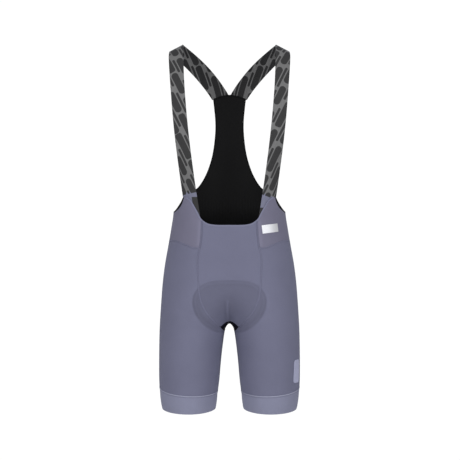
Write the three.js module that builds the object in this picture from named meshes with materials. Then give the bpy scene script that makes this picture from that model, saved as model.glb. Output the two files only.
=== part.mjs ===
// Cycling bib shorts, filled out as worn, in millimetres.
// +Z is up, -Y is the front and +X the wearer's left. The origin is midway between the two straps,
// at the height of their tops, where the shoulders carry the garment.
import * as THREE from "three";

// Cloth
const CLOTH = 1.5; // wall of the knitted panels
const MESH = 1.3; // wall of the back panel
const ELASTIC = 1.6; // wall of the straps
const SEAM_GAP = 0.3; // between two panels at a seam, and under a piece that lies on a panel
const PAD_CLEAR = 3.8; // between the seat pad and the panels round it, which are faceted
const PAD_EDGE = 2; // thickness of the seat pad at its rim
const PAD_CROWN = 5; // what its middle adds

// Levels
const MID_Y = 8; // the side seams, inseams and lowest point of the crotch lie at this depth
const CROTCH_Z = -681;
const SIDE_TOP_Z = -408; // side seam's top, at the armhole
const WAIST_SEAM_Z = -480; // side end of the seam under the wings and the back panel
const HEM_Z = -889;
const HEM_TILT = 0.085; // the hem ring drops this much per millimetre towards the front
const BAND_TOP_Z = -843.2;
const BAND_TILT = 0.11;
const BAND_RISE = 10; // how much higher its top is at the side seam than at the inseam
const FRONT_RISE = 90; // height over which the front curves under to the crotch
const BACK_RISE = 112;
const MIDDLE_ROUND = 20; // how softly the front runs from one thigh over to the other

// Straps
const STRAP_WIDTH = { shoulder: 37.6, chest: 34, back: 42 };
// Lengths from the fold between which the width changes: down the chest, and down the back.
const STRAP_CHANGES = { chest: { from: 20, to: 150 }, back: { from: 5, to: 140 } };
const STRAP_TOP = { x: 130.4, y: 4, z: -6.8 }; // middle of the strap on the shoulder
const FOLD = THREE.MathUtils.degToRad(27.5); // slope of the shoulder that the strap folds over
const STRAP_FOOT_Z = -440; // its lower end, behind the wing
// Heights between which the strap settles on the body: on the chest, and on the upper back.
const STRAP_SETTLES = { front: { from: -200, to: -360 }, back: { from: -40, to: -100 } };
const STRAP_STEPS = 40;
const STRAP_COLUMNS = 4;
const STRAP_CLEAR = 0.6; // between the wing and the strap's foot behind it, and at the back panel
const LEAST_FACING = 0.3; // limit of the share of the wing's slope that sets this gap in depth
const OVER_SHOULDER = 40; // length on each side of the fold that lies on the shoulder
const STRAP_LEAN = 0.0556; // how far the strap leans in per millimetre below that, in front
const STRAP_CURVE = 0.000186; // and how much more per square millimetre
const BACK_EASE = 0.00155; // how much less it leans in on the back, per square millimetre

// Levels of the filled-out body: half width, depth of its front and back from MID_Y,
// and half width of the flat middle, which widens into the middle of each thigh.
const BODY = [
  { z: -60, half: 150, front: 100, back: 80, flat: 60 },
  { z: -200, half: 150, front: 106, back: 88, flat: 60 },
  { z: -300, half: 144, front: 106, back: 86, flat: 60 },
  { z: -372, half: 139, front: 105, back: 82, flat: 60 },
  { z: -408, half: 136.5, front: 105, back: 81, flat: 60 },
  { z: -448, half: 142, front: 107, back: 88, flat: 57 },
  { z: -492, half: 149.5, front: 109, back: 99, flat: 53 },
  { z: -537, half: 157.5, front: 110, back: 110, flat: 52 },
  { z: -581, half: 163, front: 110, back: 116, flat: 57 },
  { z: -625, half: 166.5, front: 109, back: 116, flat: 68 },
  { z: -669, half: 169.3, front: 107, back: 110, flat: 82 },
  { z: -698, half: 170.8, front: 104, back: 103, flat: 89 },
  { z: -728, half: 171.5, front: 101, back: 96, flat: 92 },
  { z: -772, half: 172, front: 96, back: 86, flat: 95 },
  { z: -816, half: 171.8, front: 90, back: 76, flat: 97 },
  { z: -845, half: 170.5, front: 87, back: 70, flat: 98 },
  { z: -875, half: 167.6, front: 83, back: 63, flat: 98.5 },
  { z: -905, half: 162, front: 79, back: 57, flat: 98.5 },
];

// Half of the gap between the thighs, by the drop below the crotch.
const THIGH_GAP = [
  { drop: 0, half: 0 },
  { drop: 4, half: 6.4 },
  { drop: 18, half: 12 },
  { drop: 48, half: 16.7 },
  { drop: 92, half: 21.7 },
  { drop: 136, half: 25.5 },
  { drop: 165, half: 29 },
  { drop: 195, half: 32 },
  { drop: 230, half: 37 },
];

// Seam between the centre front and the side pieces, from the gusset's corner up to the scoop.
const FRONT_SEAM = [
  { z: -690, x: 23 },
  { z: -670, x: 39 },
  { z: -651, x: 56 },
  { z: -626, x: 70 },
  { z: -596, x: 75 },
  { z: -540, x: 76.5 },
  { z: -497, x: 75 },
  { z: -425, x: 71 },
];
const WING_CORNER_Z = -497; // where the seam under the wing meets the front seam

// Seam under the wing, from the front seam to the side seam, by share of the way.
const WING_SEAM = [
  { share: 0, z: -497 },
  { share: 0.12, z: -500 },
  { share: 0.3, z: -497.5 },
  { share: 0.55, z: -488 },
  { share: 1, z: -480 },
];

// Free edges of the wing above its corners: the scoop's side, and the armhole's.
const WING_SCOOP = [
  { x: 71, z: -425 },
  { x: 76.5, z: -413 },
  { x: 84.5, z: -399 },
  { x: 92, z: -386 },
  { x: 98.5, z: -379.5 },
  { x: 105.5, z: -376 },
];
const WING_ARMHOLE = [
  { x: 136.5, z: -408 },
  { x: 129.5, z: -404 },
  { x: 120.5, z: -396 },
  { x: 114.5, z: -385 },
  { x: 111.5, z: -374 },
];

// Scoop of the centre front.
const FRONT_SCOOP = [
  { x: 0, z: -443 },
  { x: 30, z: -442.8 },
  { x: 46, z: -441 },
  { x: 58, z: -436.5 },
  { x: 71, z: -425 },
];

// Free edge of the back panel, from the side seam's top to its upper corner.
const BACK_EDGE = [
  { x: 136.5, z: -408, middle: -408 },
  { x: 131, z: -396, middle: -396 },
  { x: 123.5, z: -382, middle: -380 },
  { x: 116, z: -370, middle: -364 },
  { x: 101, z: -359, middle: -348 },
  { x: 80, z: -347, middle: -332 },
  { x: 61.5, z: -319, middle: -312 },
  { x: 48.5, z: -286, middle: -282 },
  { x: 40.5, z: -252, middle: -248 },
  { x: 35.8, z: -210, middle: -206 },
  { x: 35.6, z: -178, middle: -172 },
  { x: 38.5, z: -146, middle: -138 },
  { x: 40.8, z: -125.7, middle: -115.4 },
];

// Line that a strap follows over the shoulder, in the plane square to the fold:
// y from STRAP_TOP, and height measured square to the fold.
const SHOULDER = [
  { y: -84, up: -500 },
  { y: -86, up: -340 },
  { y: -91, up: -270 },
  { y: -93, up: -200 },
  { y: -88, up: -140 },
  { y: -76, up: -88 },
  { y: -55, up: -42 },
  { y: -28, up: -11 },
  { y: 0, up: 0 },
  { y: 28, up: -11 },
  { y: 56, up: -42 },
  { y: 76, up: -90 },
  { y: 86, up: -150 },
  { y: 92, up: -230 },
];

// Crotch gusset, widest at its four corners: lengths along the middle line to the middle of its end
// and to a corner, and lengths out from the middle line at the corners and halfway.
const GUSSET = { end: 33, corner: 43.5, cornerHalf: 31, middleHalf: 21 };

// Seat pad, by distance along the middle line from the crotch's lowest point.
const SEAT_PAD = [
  { along: -142, half: 14 },
  { along: -139, half: 40 },
  { along: -133, half: 62 },
  { along: -122, half: 80 },
  { along: -105, half: 89 },
  { along: -84, half: 88 },
  { along: -60, half: 70 },
  { along: -36, half: 46 },
  { along: -12, half: 32 },
  { along: 12, half: 32 },
  { along: 36, half: 46 },
  { along: 60, half: 70 },
  { along: 84, half: 92 },
  { along: 108, half: 98 },
  { along: 130, half: 90 },
  { along: 144, half: 60 },
  { along: 149, half: 16 },
];

// Small pieces, on the wearer's left.
const TAB = { x: 96.5, z: -449.5, width: 38, height: 20, turn: THREE.MathUtils.degToRad(7) };
const TAB_WALL = 1;
const BAR = { z: -795, height: 56, from: 154.8, to: 168.2 };
const BAR_WALL = 1;
const BAR_END = { share: 0.25, narrowing: 0.6 }; // rounded part of each half, and how far it narrows

// Mesh counts, and how rows and columns crowd towards the start of their line
const COLUMNS = 10; // across a leg, seat or wing panel
const CROWDING = { columns: 1.35, inseam: 0.8, frontSeam: 1.15, backSeam: 1.3 };
const FRONT_HALF_COLUMNS = 5;
const ROWS = { inseam: 7, gusset: 3, end: FRONT_HALF_COLUMNS, seam: 9, wing: 4, wingTop: 5, band: 3 };
const BACK_COLUMNS = 12;
const PAD_ROWS = 24;
const PAD_COLUMNS = 14;
const TAB_COUNTS = { rows: 2, columns: 4 };
const BAR_COUNTS = { rows: 8, columns: 4 };
const SLICE_STEPS = 48; // along half of one level's line
const MIDDLE_STEPS = 160; // along half of the crotch's middle line
const SHOULDER_STEPS = 2000;
const HALVINGS = 40; // passes when a strap's end is looked for
const PROBE = 0.4; // distance over which a slope is taken
const SHARE_PROBE = 0.02; // and share of the strap's half width

const lerp = THREE.MathUtils.lerp;
const clamp = THREE.MathUtils.clamp;

// Value of one column of a table at a place on another, along smooth cubic arcs.
function tableValue(rows, key, place, column) {
  const rising = rows[rows.length - 1][key] > rows[0][key];
  const sorted = rising ? rows : [...rows].reverse();
  const at = clamp(place, sorted[0][key], sorted[sorted.length - 1][key]);
  let i = 0;
  while (i < sorted.length - 2 && at > sorted[i + 1][key]) i++;
  const [a, b] = [sorted[i], sorted[i + 1]];
  const before = sorted[Math.max(i - 1, 0)];
  const after = sorted[Math.min(i + 2, sorted.length - 1)];
  const span = b[key] - a[key];
  const t = (at - a[key]) / span;
  const slopeA = ((b[column] - before[column]) / (b[key] - before[key])) * span;
  const slopeB = ((after[column] - a[column]) / (after[key] - a[key])) * span;
  const t2 = t * t;
  const t3 = t2 * t;
  return (
    (2 * t3 - 3 * t2 + 1) * a[column] +
    (t3 - 2 * t2 + t) * slopeA +
    (3 * t2 - 2 * t3) * b[column] +
    (t3 - t2) * slopeB
  );
}

// Share of the depth squared that a thigh has gained at x, from none in the middle to all at flat.
function thighSwell(x, flat) {
  const soft = (v) => Math.hypot(v, MIDDLE_ROUND) - MIDDLE_ROUND;
  return 1 - (1 - soft(x) / soft(flat)) ** 2;
}

// Body at one level: half width, flat half width, front and back depth, half gap between the
// thighs, and how far its middle reaches as a share of the depth squared (negative in the gap).
function level(z) {
  const half = tableValue(BODY, "z", z, "half");
  const flat = tableValue(BODY, "z", z, "flat");
  const depth = {
    front: tableValue(BODY, "z", z, "front"),
    back: tableValue(BODY, "z", z, "back"),
  };
  const middle = {};
  let gap = 0;
  if (z >= CROTCH_Z) {
    for (const [side, rise] of [["front", FRONT_RISE], ["back", BACK_RISE]]) {
      const t = clamp((z - CROTCH_Z) / rise, 0, 1);
      middle[side] = t + t * t - t * t * t;
    }
  } else {
    const roots = THIGH_GAP.map((row) => ({ root: Math.sqrt(row.drop), half: row.half }));
    gap = tableValue(roots, "root", Math.sqrt(CROTCH_Z - z), "half");
    const swell = thighSwell(gap, flat);
    middle.front = middle.back = -swell / (1 - swell);
  }
  return { half, flat, depth, middle, gap };
}

// Depth from MID_Y squared, as a share of the full depth squared, at x on one level.
function reach(body, x, side) {
  if (x > body.flat) return 1 - ((x - body.flat) / (body.half - body.flat)) ** 2;
  const swell = thighSwell(x, body.flat);
  return body.middle[side] + (1 - body.middle[side]) * swell;
}

function depthAt(x, z, side) {
  const body = level(z);
  const depth = body.depth[side] * Math.sqrt(Math.max(reach(body, Math.abs(x), side), 0));
  return side === "front" ? MID_Y - depth : MID_Y + depth;
}

// Below zero inside the body, above zero outside.
function outside(x, y, z) {
  const side = y < MID_Y ? "front" : "back";
  const body = level(z);
  return (y - MID_Y) ** 2 / body.depth[side] ** 2 - reach(body, Math.abs(x), side);
}

function outward({ x, y, z }) {
  return new THREE.Vector3(
    outside(x + PROBE, y, z) - outside(x - PROBE, y, z),
    outside(x, y + PROBE, z) - outside(x, y - PROBE, z),
    outside(x, y, z + PROBE) - outside(x, y, z - PROBE),
  ).normalize();
}

// One level's line on the front or back, from the middle or the inseam to the side seam.
const slices = new Map();
function slice(z, side) {
  const name = side + z.toFixed(5);
  if (slices.has(name)) return slices.get(name);
  const body = level(z);
  const points = [];
  for (let i = 0; i <= 2 * SLICE_STEPS; i++) {
    const t = i / SLICE_STEPS;
    const x =
      t <= 1
        ? lerp(body.gap, body.flat, t * t)
        : lerp(body.flat, body.half, Math.sin(((t - 1) * Math.PI) / 2));
    const depth = body.depth[side] * Math.sqrt(Math.max(reach(body, x, side), 0));
    points.push({ x, depth, arc: 0 });
  }
  for (let i = 1; i < points.length; i++) {
    const [a, b] = [points[i - 1], points[i]];
    b.arc = a.arc + Math.hypot(b.x - a.x, b.depth - a.depth);
  }
  slices.set(name, points);
  return points;
}

// Length of one level's line, from the side seam in to the middle or the inseam.
function sliceLength(z, side) {
  const points = slice(z, side);
  return points[points.length - 1].arc;
}

// A place on the body: its distance round from the side seam, and its level.
const onInnerLine = (z, side) => ({ fromSide: sliceLength(z, side), z });

function mixPlace(a, b, t) {
  return { fromSide: lerp(a.fromSide, b.fromSide, t), z: lerp(a.z, b.z, t) };
}

function onBody({ fromSide, z }, side) {
  const points = slice(z, side);
  const arc = Math.max(sliceLength(z, side) - fromSide, 0);
  let i = 1;
  while (i < points.length - 1 && points[i].arc < arc) i++;
  const [a, b] = [points[i - 1], points[i]];
  const t = (arc - a.arc) / (b.arc - a.arc);
  const depth = lerp(a.depth, b.depth, t);
  return new THREE.Vector3(lerp(a.x, b.x, t), side === "front" ? MID_Y - depth : MID_Y + depth, z);
}

// Place of a point that lies on the body.
function placeOf(point, side) {
  const points = slice(point.z, side);
  const [x, depth] = [Math.abs(point.x), Math.abs(point.y - MID_Y)];
  let best = { far: Infinity, arc: 0 };
  for (let i = 1; i < points.length; i++) {
    const [a, b] = [points[i - 1], points[i]];
    const [dx, dd] = [b.x - a.x, b.depth - a.depth];
    const t = clamp(((x - a.x) * dx + (depth - a.depth) * dd) / (dx * dx + dd * dd || 1), 0, 1);
    const far = Math.hypot(a.x + t * dx - x, a.depth + t * dd - depth);
    if (far < best.far) best = { far, arc: lerp(a.arc, b.arc, t) };
  }
  return { fromSide: sliceLength(point.z, side) - best.arc, z: point.z };
}

const surfacePoint = (x, z, side) => new THREE.Vector3(x, depthAt(x, z, side), z);

// Middle line of the crotch in its own length, measured from its lowest point, front negative.
const middleLine = (() => {
  const reachUp = 1.6; // share of the rise that the line covers
  const line = [];
  for (const [side, rise, sign] of [["front", FRONT_RISE, -1], ["back", BACK_RISE, 1]]) {
    let last = { y: MID_Y, z: CROTCH_Z, along: 0 };
    for (let i = 1; i <= MIDDLE_STEPS; i++) {
      const z = CROTCH_Z + reachUp * rise * (i / MIDDLE_STEPS) ** 2;
      const y = depthAt(0, z, side);
      last = { y, z, along: last.along + sign * Math.hypot(y - last.y, z - last.z) };
      line.push(last);
    }
  }
  line.push({ y: MID_Y, z: CROTCH_Z, along: 0 });
  return line.sort((a, b) => a.along - b.along);
})();

function middlePoint(along) {
  let i = 1;
  while (i < middleLine.length - 1 && middleLine[i].along < along) i++;
  const [a, b] = [middleLine[i - 1], middleLine[i]];
  const t = (along - a.along) / (b.along - a.along);
  return new THREE.Vector3(0, lerp(a.y, b.y, t), lerp(a.z, b.z, t));
}

// Line over the body square to the middle line, in steps of one millimetre out from the middle.
function crossLine(along, length) {
  const start = middlePoint(along);
  const normal = outward(start);
  const side = new THREE.Vector3(1, 0, 0);
  const at = (x, s) => start.clone().addScaledVector(side, x).addScaledVector(normal, s);
  const value = (x, s) => {
    const p = at(x, s);
    return outside(p.x, p.y, p.z);
  };
  const line = [start];
  let [x, s] = [0, 0];
  for (let i = 1; i <= length + 1; i++) {
    // one step along the body, then three that settle the point on it
    for (let pass = 0; pass < 4; pass++) {
      const gx = (value(x + PROBE, s) - value(x - PROBE, s)) / (2 * PROBE);
      const gs = (value(x, s + PROBE) - value(x, s - PROBE)) / (2 * PROBE);
      const size = Math.hypot(gx, gs);
      if (pass === 0) {
        x += gs / size;
        s -= gx / size;
      } else {
        const off = value(x, s) / (size * size);
        x -= off * gx;
        s -= off * gs;
      }
    }
    line.push(at(x, s));
  }
  return line;
}

function alongLine(line, distance) {
  const far = Math.abs(distance);
  const i = Math.min(Math.floor(far), line.length - 2);
  const point = line[i].clone().lerp(line[i + 1], far - i);
  if (distance < 0) point.x = -point.x;
  return point;
}

// Pulls a grid's free sides in by half the gap that seams keep.
function pullIn(grid, wraps) {
  const rows = grid.length;
  const columns = grid[0].length;
  const moves = [];
  const move = (j, i, towardsJ, towardsI) => {
    const from = grid[j][i].point;
    const way = grid[towardsJ][towardsI].point.clone().sub(from).setLength(SEAM_GAP / 2);
    moves.push([from, way]);
  };
  for (let i = 0; i < columns; i++) {
    move(0, i, 1, i);
    move(rows - 1, i, rows - 2, i);
  }
  if (!wraps) {
    for (let j = 0; j < rows; j++) {
      move(j, 0, j, 1);
      move(j, columns - 1, j, columns - 2);
    }
  }
  for (const [from, way] of moves) from.add(way);
}

// Closed wall over a grid of points with normals: the outer side is lifted, the inner one lies
// below it by the wall. A wrapping grid closes on itself across its columns.
function wallOver(name, grid, material, { wall = CLOTH, lift = 0, wraps = false, seam = true } = {}) {
  if (seam) pullIn(grid, wraps);
  const rows = grid.length;
  const columns = grid[0].length;
  const positions = [];
  const index = [];
  const wallAt = typeof wall === "number" ? () => wall : wall;
  const lay = (depth) => {
    const first = positions.length / 3;
    grid.forEach((row, j) =>
      row.forEach(({ point, normal }, i) => {
        const p = point.clone().addScaledVector(normal, lift - depth(j, i));
        positions.push(p.x, p.y, p.z);
      }),
    );
    return first;
  };
  const outer = lay(() => 0);
  const inner = lay(wallAt);
  const id = (first, j, i) => first + j * columns + (i % columns);
  const face = (a, b, c, d) => index.push(a, b, c, a, c, d);
  const across = wraps ? columns : columns - 1;
  for (let j = 0; j < rows - 1; j++) {
    for (let i = 0; i < across; i++) {
      face(id(outer, j, i), id(outer, j, i + 1), id(outer, j + 1, i + 1), id(outer, j + 1, i));
      face(id(inner, j, i), id(inner, j + 1, i), id(inner, j + 1, i + 1), id(inner, j, i + 1));
    }
  }
  const top = rows - 1;
  for (let i = 0; i < across; i++) {
    face(id(inner, 0, i), id(inner, 0, i + 1), id(outer, 0, i + 1), id(outer, 0, i));
    face(id(outer, top, i), id(outer, top, i + 1), id(inner, top, i + 1), id(inner, top, i));
  }
  if (!wraps) {
    const last = columns - 1;
    for (let j = 0; j < rows - 1; j++) {
      face(id(outer, j, 0), id(outer, j + 1, 0), id(inner, j + 1, 0), id(inner, j, 0));
      face(id(inner, j, last), id(inner, j + 1, last), id(outer, j + 1, last), id(outer, j, last));
    }
  }
  const geometry = new THREE.BufferGeometry();
  geometry.setAttribute("position", new THREE.Float32BufferAttribute(positions, 3));
  geometry.setIndex(index);
  if (volumeOf(geometry) < 0) {
    for (let i = 0; i < index.length; i += 3) [index[i], index[i + 1]] = [index[i + 1], index[i]];
    geometry.setIndex(index);
  }
  geometry.computeVertexNormals();
  const mesh = new THREE.Mesh(geometry, material);
  mesh.name = name;
  return mesh;
}

function volumeOf(geometry) {
  const position = geometry.getAttribute("position");
  const corner = [0, 1, 2].map(() => new THREE.Vector3());
  let volume = 0;
  for (let i = 0; i < geometry.index.count; i += 3) {
    corner.forEach((v, k) => v.fromBufferAttribute(position, geometry.index.getX(i + k)));
    volume += corner[0].dot(corner[1].clone().cross(corner[2])) / 6;
  }
  return volume;
}

const vertexAt = (point) => ({ point, normal: outward(point) });

function mirrored(grid) {
  const flip = (v) => new THREE.Vector3(-v.x, v.y, v.z);
  return grid.map((row) => row.map(({ point, normal }) => ({ point: flip(point), normal: flip(normal) })));
}

const steps = (count) => Array.from({ length: count + 1 }, (_, i) => i / count);
const columnShares = steps(COLUMNS).map((t) => t ** CROWDING.columns);

// Point of the gusset: lengthwise from -1 at the front to 1 at the back, across from -1 to 1.
function gussetPoint(lengthwise, across) {
  const along = lengthwise * lerp(GUSSET.end, GUSSET.corner, Math.abs(across));
  const half = lerp(GUSSET.middleHalf, GUSSET.cornerHalf, Math.abs(lengthwise));
  return alongLine(crossLine(along, Math.abs(across) * half), across * half);
}

// Seams, as lists of places that both neighbours use.
const gussetEdge = [
  ...steps(ROWS.end).map((t) => [-1, t]),
  ...steps(2 * ROWS.gusset).slice(1, -1).map((t) => [2 * t - 1, 1]),
  ...steps(ROWS.end).map((t) => [1, 1 - t]),
];
const gussetSide = gussetEdge.map(([lengthwise, across]) => gussetPoint(lengthwise, across));
const gussetMiddle = ROWS.end + ROWS.gusset;

// Ring round a leg that drops towards the front, by share of the way from the inseam to the side.
function tiltedRing(level, tilt, rise = 0) {
  return (share, side) => {
    const flat = onBody({ fromSide: (1 - share) * sliceLength(level, side), z: level }, side);
    const z = level + tilt * (flat.y - MID_Y) + rise * (share - 0.5);
    return { fromSide: (1 - share) * sliceLength(z, side), z };
  };
}
const bandTop = tiltedRing(BAND_TOP_Z, BAND_TILT, BAND_RISE);
const hem = tiltedRing(HEM_Z, HEM_TILT);

const inseamLevels = steps(ROWS.inseam).map((t) =>
  lerp(bandTop(0, "front").z, gussetSide[gussetMiddle].z, t ** CROWDING.inseam),
);

const placeAt = (x, z, side) => placeOf(surfacePoint(x, z, side), side);
const frontSeamPlace = (z) => placeAt(tableValue(FRONT_SEAM, "z", z, "x"), z, "front");
const gussetCorner = gussetSide[ROWS.end];
const frontSeamLow = steps(ROWS.seam + ROWS.end)
  .slice(1)
  .map((t) => frontSeamPlace(lerp(gussetCorner.z, WING_CORNER_Z, t ** CROWDING.frontSeam)));
const scoopCornerZ = FRONT_SCOOP[FRONT_SCOOP.length - 1].z;
const frontSeamHigh = steps(ROWS.wing).map((t) =>
  frontSeamPlace(lerp(WING_CORNER_Z, scoopCornerZ, t)),
);

const sideRows = ROWS.inseam + ROWS.gusset + ROWS.end + ROWS.seam;
const sideSeamLow = steps(sideRows).map((t) => ({
  fromSide: 0,
  z: lerp(bandTop(1, "front").z, WAIST_SEAM_Z, t),
}));
const sideSeamHigh = steps(ROWS.wing).map((t) => ({
  fromSide: 0,
  z: lerp(WAIST_SEAM_Z, SIDE_TOP_Z, t),
}));

// Panel between two seams: row by row from the inner seam's place to the outer one's.
function panelGrid(inner, outer, side, { top, bottom } = {}) {
  return inner.map((from, j) =>
    columnShares.map((t) => {
      let spot = mixPlace(from, outer[j], t);
      if (j === 0 && bottom) spot = bottom(t);
      if (j === inner.length - 1 && top) spot = top(t);
      return vertexAt(onBody(spot, side));
    }),
  );
}

const wingSeam = (t) => ({
  fromSide: (1 - t) * frontSeamHigh[0].fromSide,
  z: tableValue(WING_SEAM, "share", t, "z"),
});

function legGrid() {
  const gusset = gussetSide.slice(ROWS.end, gussetMiddle).reverse();
  const inseam = inseamLevels.map((z) => onInnerLine(z, "front"));
  const inner = [...inseam, ...gusset.map((p) => placeOf(p, "front")), ...frontSeamLow];
  return panelGrid(inner, sideSeamLow, "front", { bottom: (t) => bandTop(t, "front"), top: wingSeam });
}

function seatGrid() {
  const gusset = gussetSide.slice(gussetMiddle + 1, -1);
  const apexZ = middlePoint(GUSSET.end).z;
  const inseam = inseamLevels.map((z) => onInnerLine(z, "back"));
  const backSeam = steps(ROWS.seam).map((t) =>
    onInnerLine(lerp(apexZ, WAIST_SEAM_Z, t ** CROWDING.backSeam), "back"),
  );
  const inner = [...inseam, ...gusset.map((p) => placeOf(p, "back")), ...backSeam];
  return panelGrid(inner, sideSeamLow, "back", { bottom: (t) => bandTop(t, "back") });
}

function bandGrid() {
  const round = [
    ...columnShares.map((t) => [t, "front"]),
    ...columnShares.slice(1, -1).reverse().map((t) => [t, "back"]),
  ];
  return steps(ROWS.band).map((t) =>
    round.map(([share, side]) => {
      const spot = mixPlace(hem(share, side), bandTop(share, side), t);
      return vertexAt(onBody(spot, side));
    }),
  );
}

function curveThrough(rows) {
  return new THREE.CatmullRomCurve3(rows.map((row) => new THREE.Vector3(row.x, 0, row.z)));
}

function wingGrid() {
  const scoop = curveThrough(WING_SCOOP);
  const armhole = curveThrough(WING_ARMHOLE);
  const edge = (curve, t) => {
    const p = curve.getPoint(t);
    return placeAt(Math.min(p.x, level(p.z).half), p.z, "front");
  };
  const above = steps(ROWS.wingTop).slice(1);
  const inner = [...frontSeamHigh, ...above.map((t) => edge(scoop, t))];
  const outer = [...sideSeamHigh, ...above.map((t) => edge(armhole, t))];
  return panelGrid(inner, outer, "front", { bottom: wingSeam });
}

// Centre front: rows from the gusset's front point up to the scoop, across both sides.
function frontGrid() {
  const seam = [placeOf(gussetCorner, "front"), ...frontSeamLow, ...frontSeamHigh.slice(1)];
  const seamX = seam.map((spot) => onBody(spot, "front").x);
  const low = gussetSide.slice(0, ROWS.end + 1);
  const scoop = (x) => tableValue(FRONT_SCOOP, "x", x, "z");
  const top = seam.length - 1;
  return seam.map((spot, j) => {
    const up = (spot.z - seam[0].z) / (seam[top].z - seam[0].z);
    return steps(2 * FRONT_HALF_COLUMNS).map((t, i) => {
      const column = Math.abs(i - FRONT_HALF_COLUMNS);
      const across = column / FRONT_HALF_COLUMNS;
      const foot = low[column];
      const x = lerp(foot.x, across * seamX[top], (seamX[j] - seamX[0]) / (seamX[top] - seamX[0]));
      const z = across === 1 ? spot.z : lerp(foot.z, scoop(across * seamX[top]), up);
      const point = j === 0 ? foot.clone() : surfacePoint(across === 1 ? seamX[j] : x, z, "front");
      if (i < FRONT_HALF_COLUMNS) point.x = -point.x;
      return vertexAt(point);
    });
  });
}

// Back panel: rows from the seat's seam up to the straps, across both sides.
function backGrid() {
  const low = sideSeamHigh.map((spot) => ({ edge: spot, middle: spot.z }));
  const high = BACK_EDGE.slice(1).map((row) => ({
    edge: placeAt(row.x, row.z, "back"),
    middle: row.middle,
  }));
  return [...low, ...high].map(({ edge, middle }) =>
    steps(BACK_COLUMNS).map((t) => {
      const across = 2 * t - 1;
      const z = lerp(middle, edge.z, across * across);
      const fromSide = lerp(sliceLength(z, "back"), edge.fromSide, Math.abs(across));
      const point = onBody({ fromSide, z }, "back");
      if (across < 0) point.x = -point.x;
      return vertexAt(point);
    }),
  );
}

function gussetGrid() {
  return steps(2 * ROWS.gusset).map((v) =>
    steps(2 * ROWS.end).map((h) => vertexAt(gussetPoint(2 * v - 1, 2 * h - 1))),
  );
}

function padGrid() {
  const first = SEAT_PAD[0].along;
  const last = SEAT_PAD[SEAT_PAD.length - 1].along;
  return steps(PAD_ROWS).map((v) => {
    const along = lerp(first, last, (1 - Math.cos(Math.PI * v)) / 2);
    const half = tableValue(SEAT_PAD, "along", along, "half");
    const line = crossLine(along, half);
    return steps(PAD_COLUMNS).map((t) => vertexAt(alongLine(line, (2 * t - 1) * half)));
  });
}

// Strap: a flat band folded over a sloping shoulder, laid out on the unrolled fold first.
const foldIn = new THREE.Vector3(-Math.cos(FOLD), 0, Math.sin(FOLD));
const foldUp = new THREE.Vector3(Math.sin(FOLD), 0, Math.cos(FOLD));
const shoulderLine = new THREE.CatmullRomCurve3(
  SHOULDER.map((row) => new THREE.Vector3(0, row.y, row.up)),
);
shoulderLine.arcLengthDivisions = SHOULDER_STEPS;
const shoulderLength = shoulderLine.getLength();
const shoulderTop = (() => {
  let best = 0;
  for (const t of steps(SHOULDER_STEPS)) {
    if (shoulderLine.getPointAt(t).z > shoulderLine.getPointAt(best).z) best = t;
  }
  return best * shoulderLength;
})();

const shoulderAt = (w) => shoulderLine.getPointAt(clamp((shoulderTop + w) / shoulderLength, 0, 1));

// How far the strap leans in towards the middle low on the chest, by its length from the fold.
const leanIn = (around) => {
  const low = Math.max(-around - OVER_SHOULDER, 0);
  return STRAP_LEAN * low + STRAP_CURVE * low * low;
};

// Half of the strap's width by its length from the fold, which is negative on the chest.
function strapHalf(around) {
  const part = around < 0 ? "chest" : "back";
  const { from, to } = STRAP_CHANGES[part];
  const share = THREE.MathUtils.smoothstep(Math.abs(around), from, to);
  return lerp(STRAP_WIDTH.shoulder, STRAP_WIDTH[part], share) / 2;
}

// How far in towards the middle the strap's own middle lies, along the fold.
function slant(around) {
  const up = shoulderAt(around).z;
  const eased = around > 0 ? BACK_EASE * up * up : 0;
  return leanIn(around) - Math.sign(around) * up * Math.tan(FOLD) - eased;
}

// Point of the strap by its length from the fold, and its share of the half width inwards.
function strapPoint(around, share) {
  const across = share * strapHalf(around);
  const slope = (slant(around + 1) - slant(around - 1)) / 2;
  const size = Math.hypot(1, slope);
  const w = around - (across * slope) / size;
  const g = slant(around) + across / size;
  const onShoulder = shoulderAt(w);
  const point = new THREE.Vector3(STRAP_TOP.x, STRAP_TOP.y + onShoulder.y, STRAP_TOP.z);
  point.addScaledVector(foldUp, onShoulder.z).addScaledVector(foldIn, g);
  const side = point.y < MID_Y ? "front" : "back";
  const skin = surfacePoint(point.x, point.z, side);
  const facing = Math.max(-outward(skin).y, LEAST_FACING);
  const under = side === "front" ? (CLOTH + STRAP_CLEAR) / facing : 0;
  const inside = skin.y + under;
  const { from, to } = STRAP_SETTLES[side];
  point.y = lerp(point.y, inside, THREE.MathUtils.smoothstep(-point.z, -from, -to));
  return point;
}

// Length round the shoulder at which a line of the strap reaches a height.
function strapEnd(share, height, from, to) {
  let [low, high] = [from, to];
  for (let pass = 0; pass < HALVINGS; pass++) {
    const middle = (low + high) / 2;
    const point = strapPoint(middle, share);
    if (point.z > height(point)) low = middle;
    else high = middle;
  }
  return (low + high) / 2;
}

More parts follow.
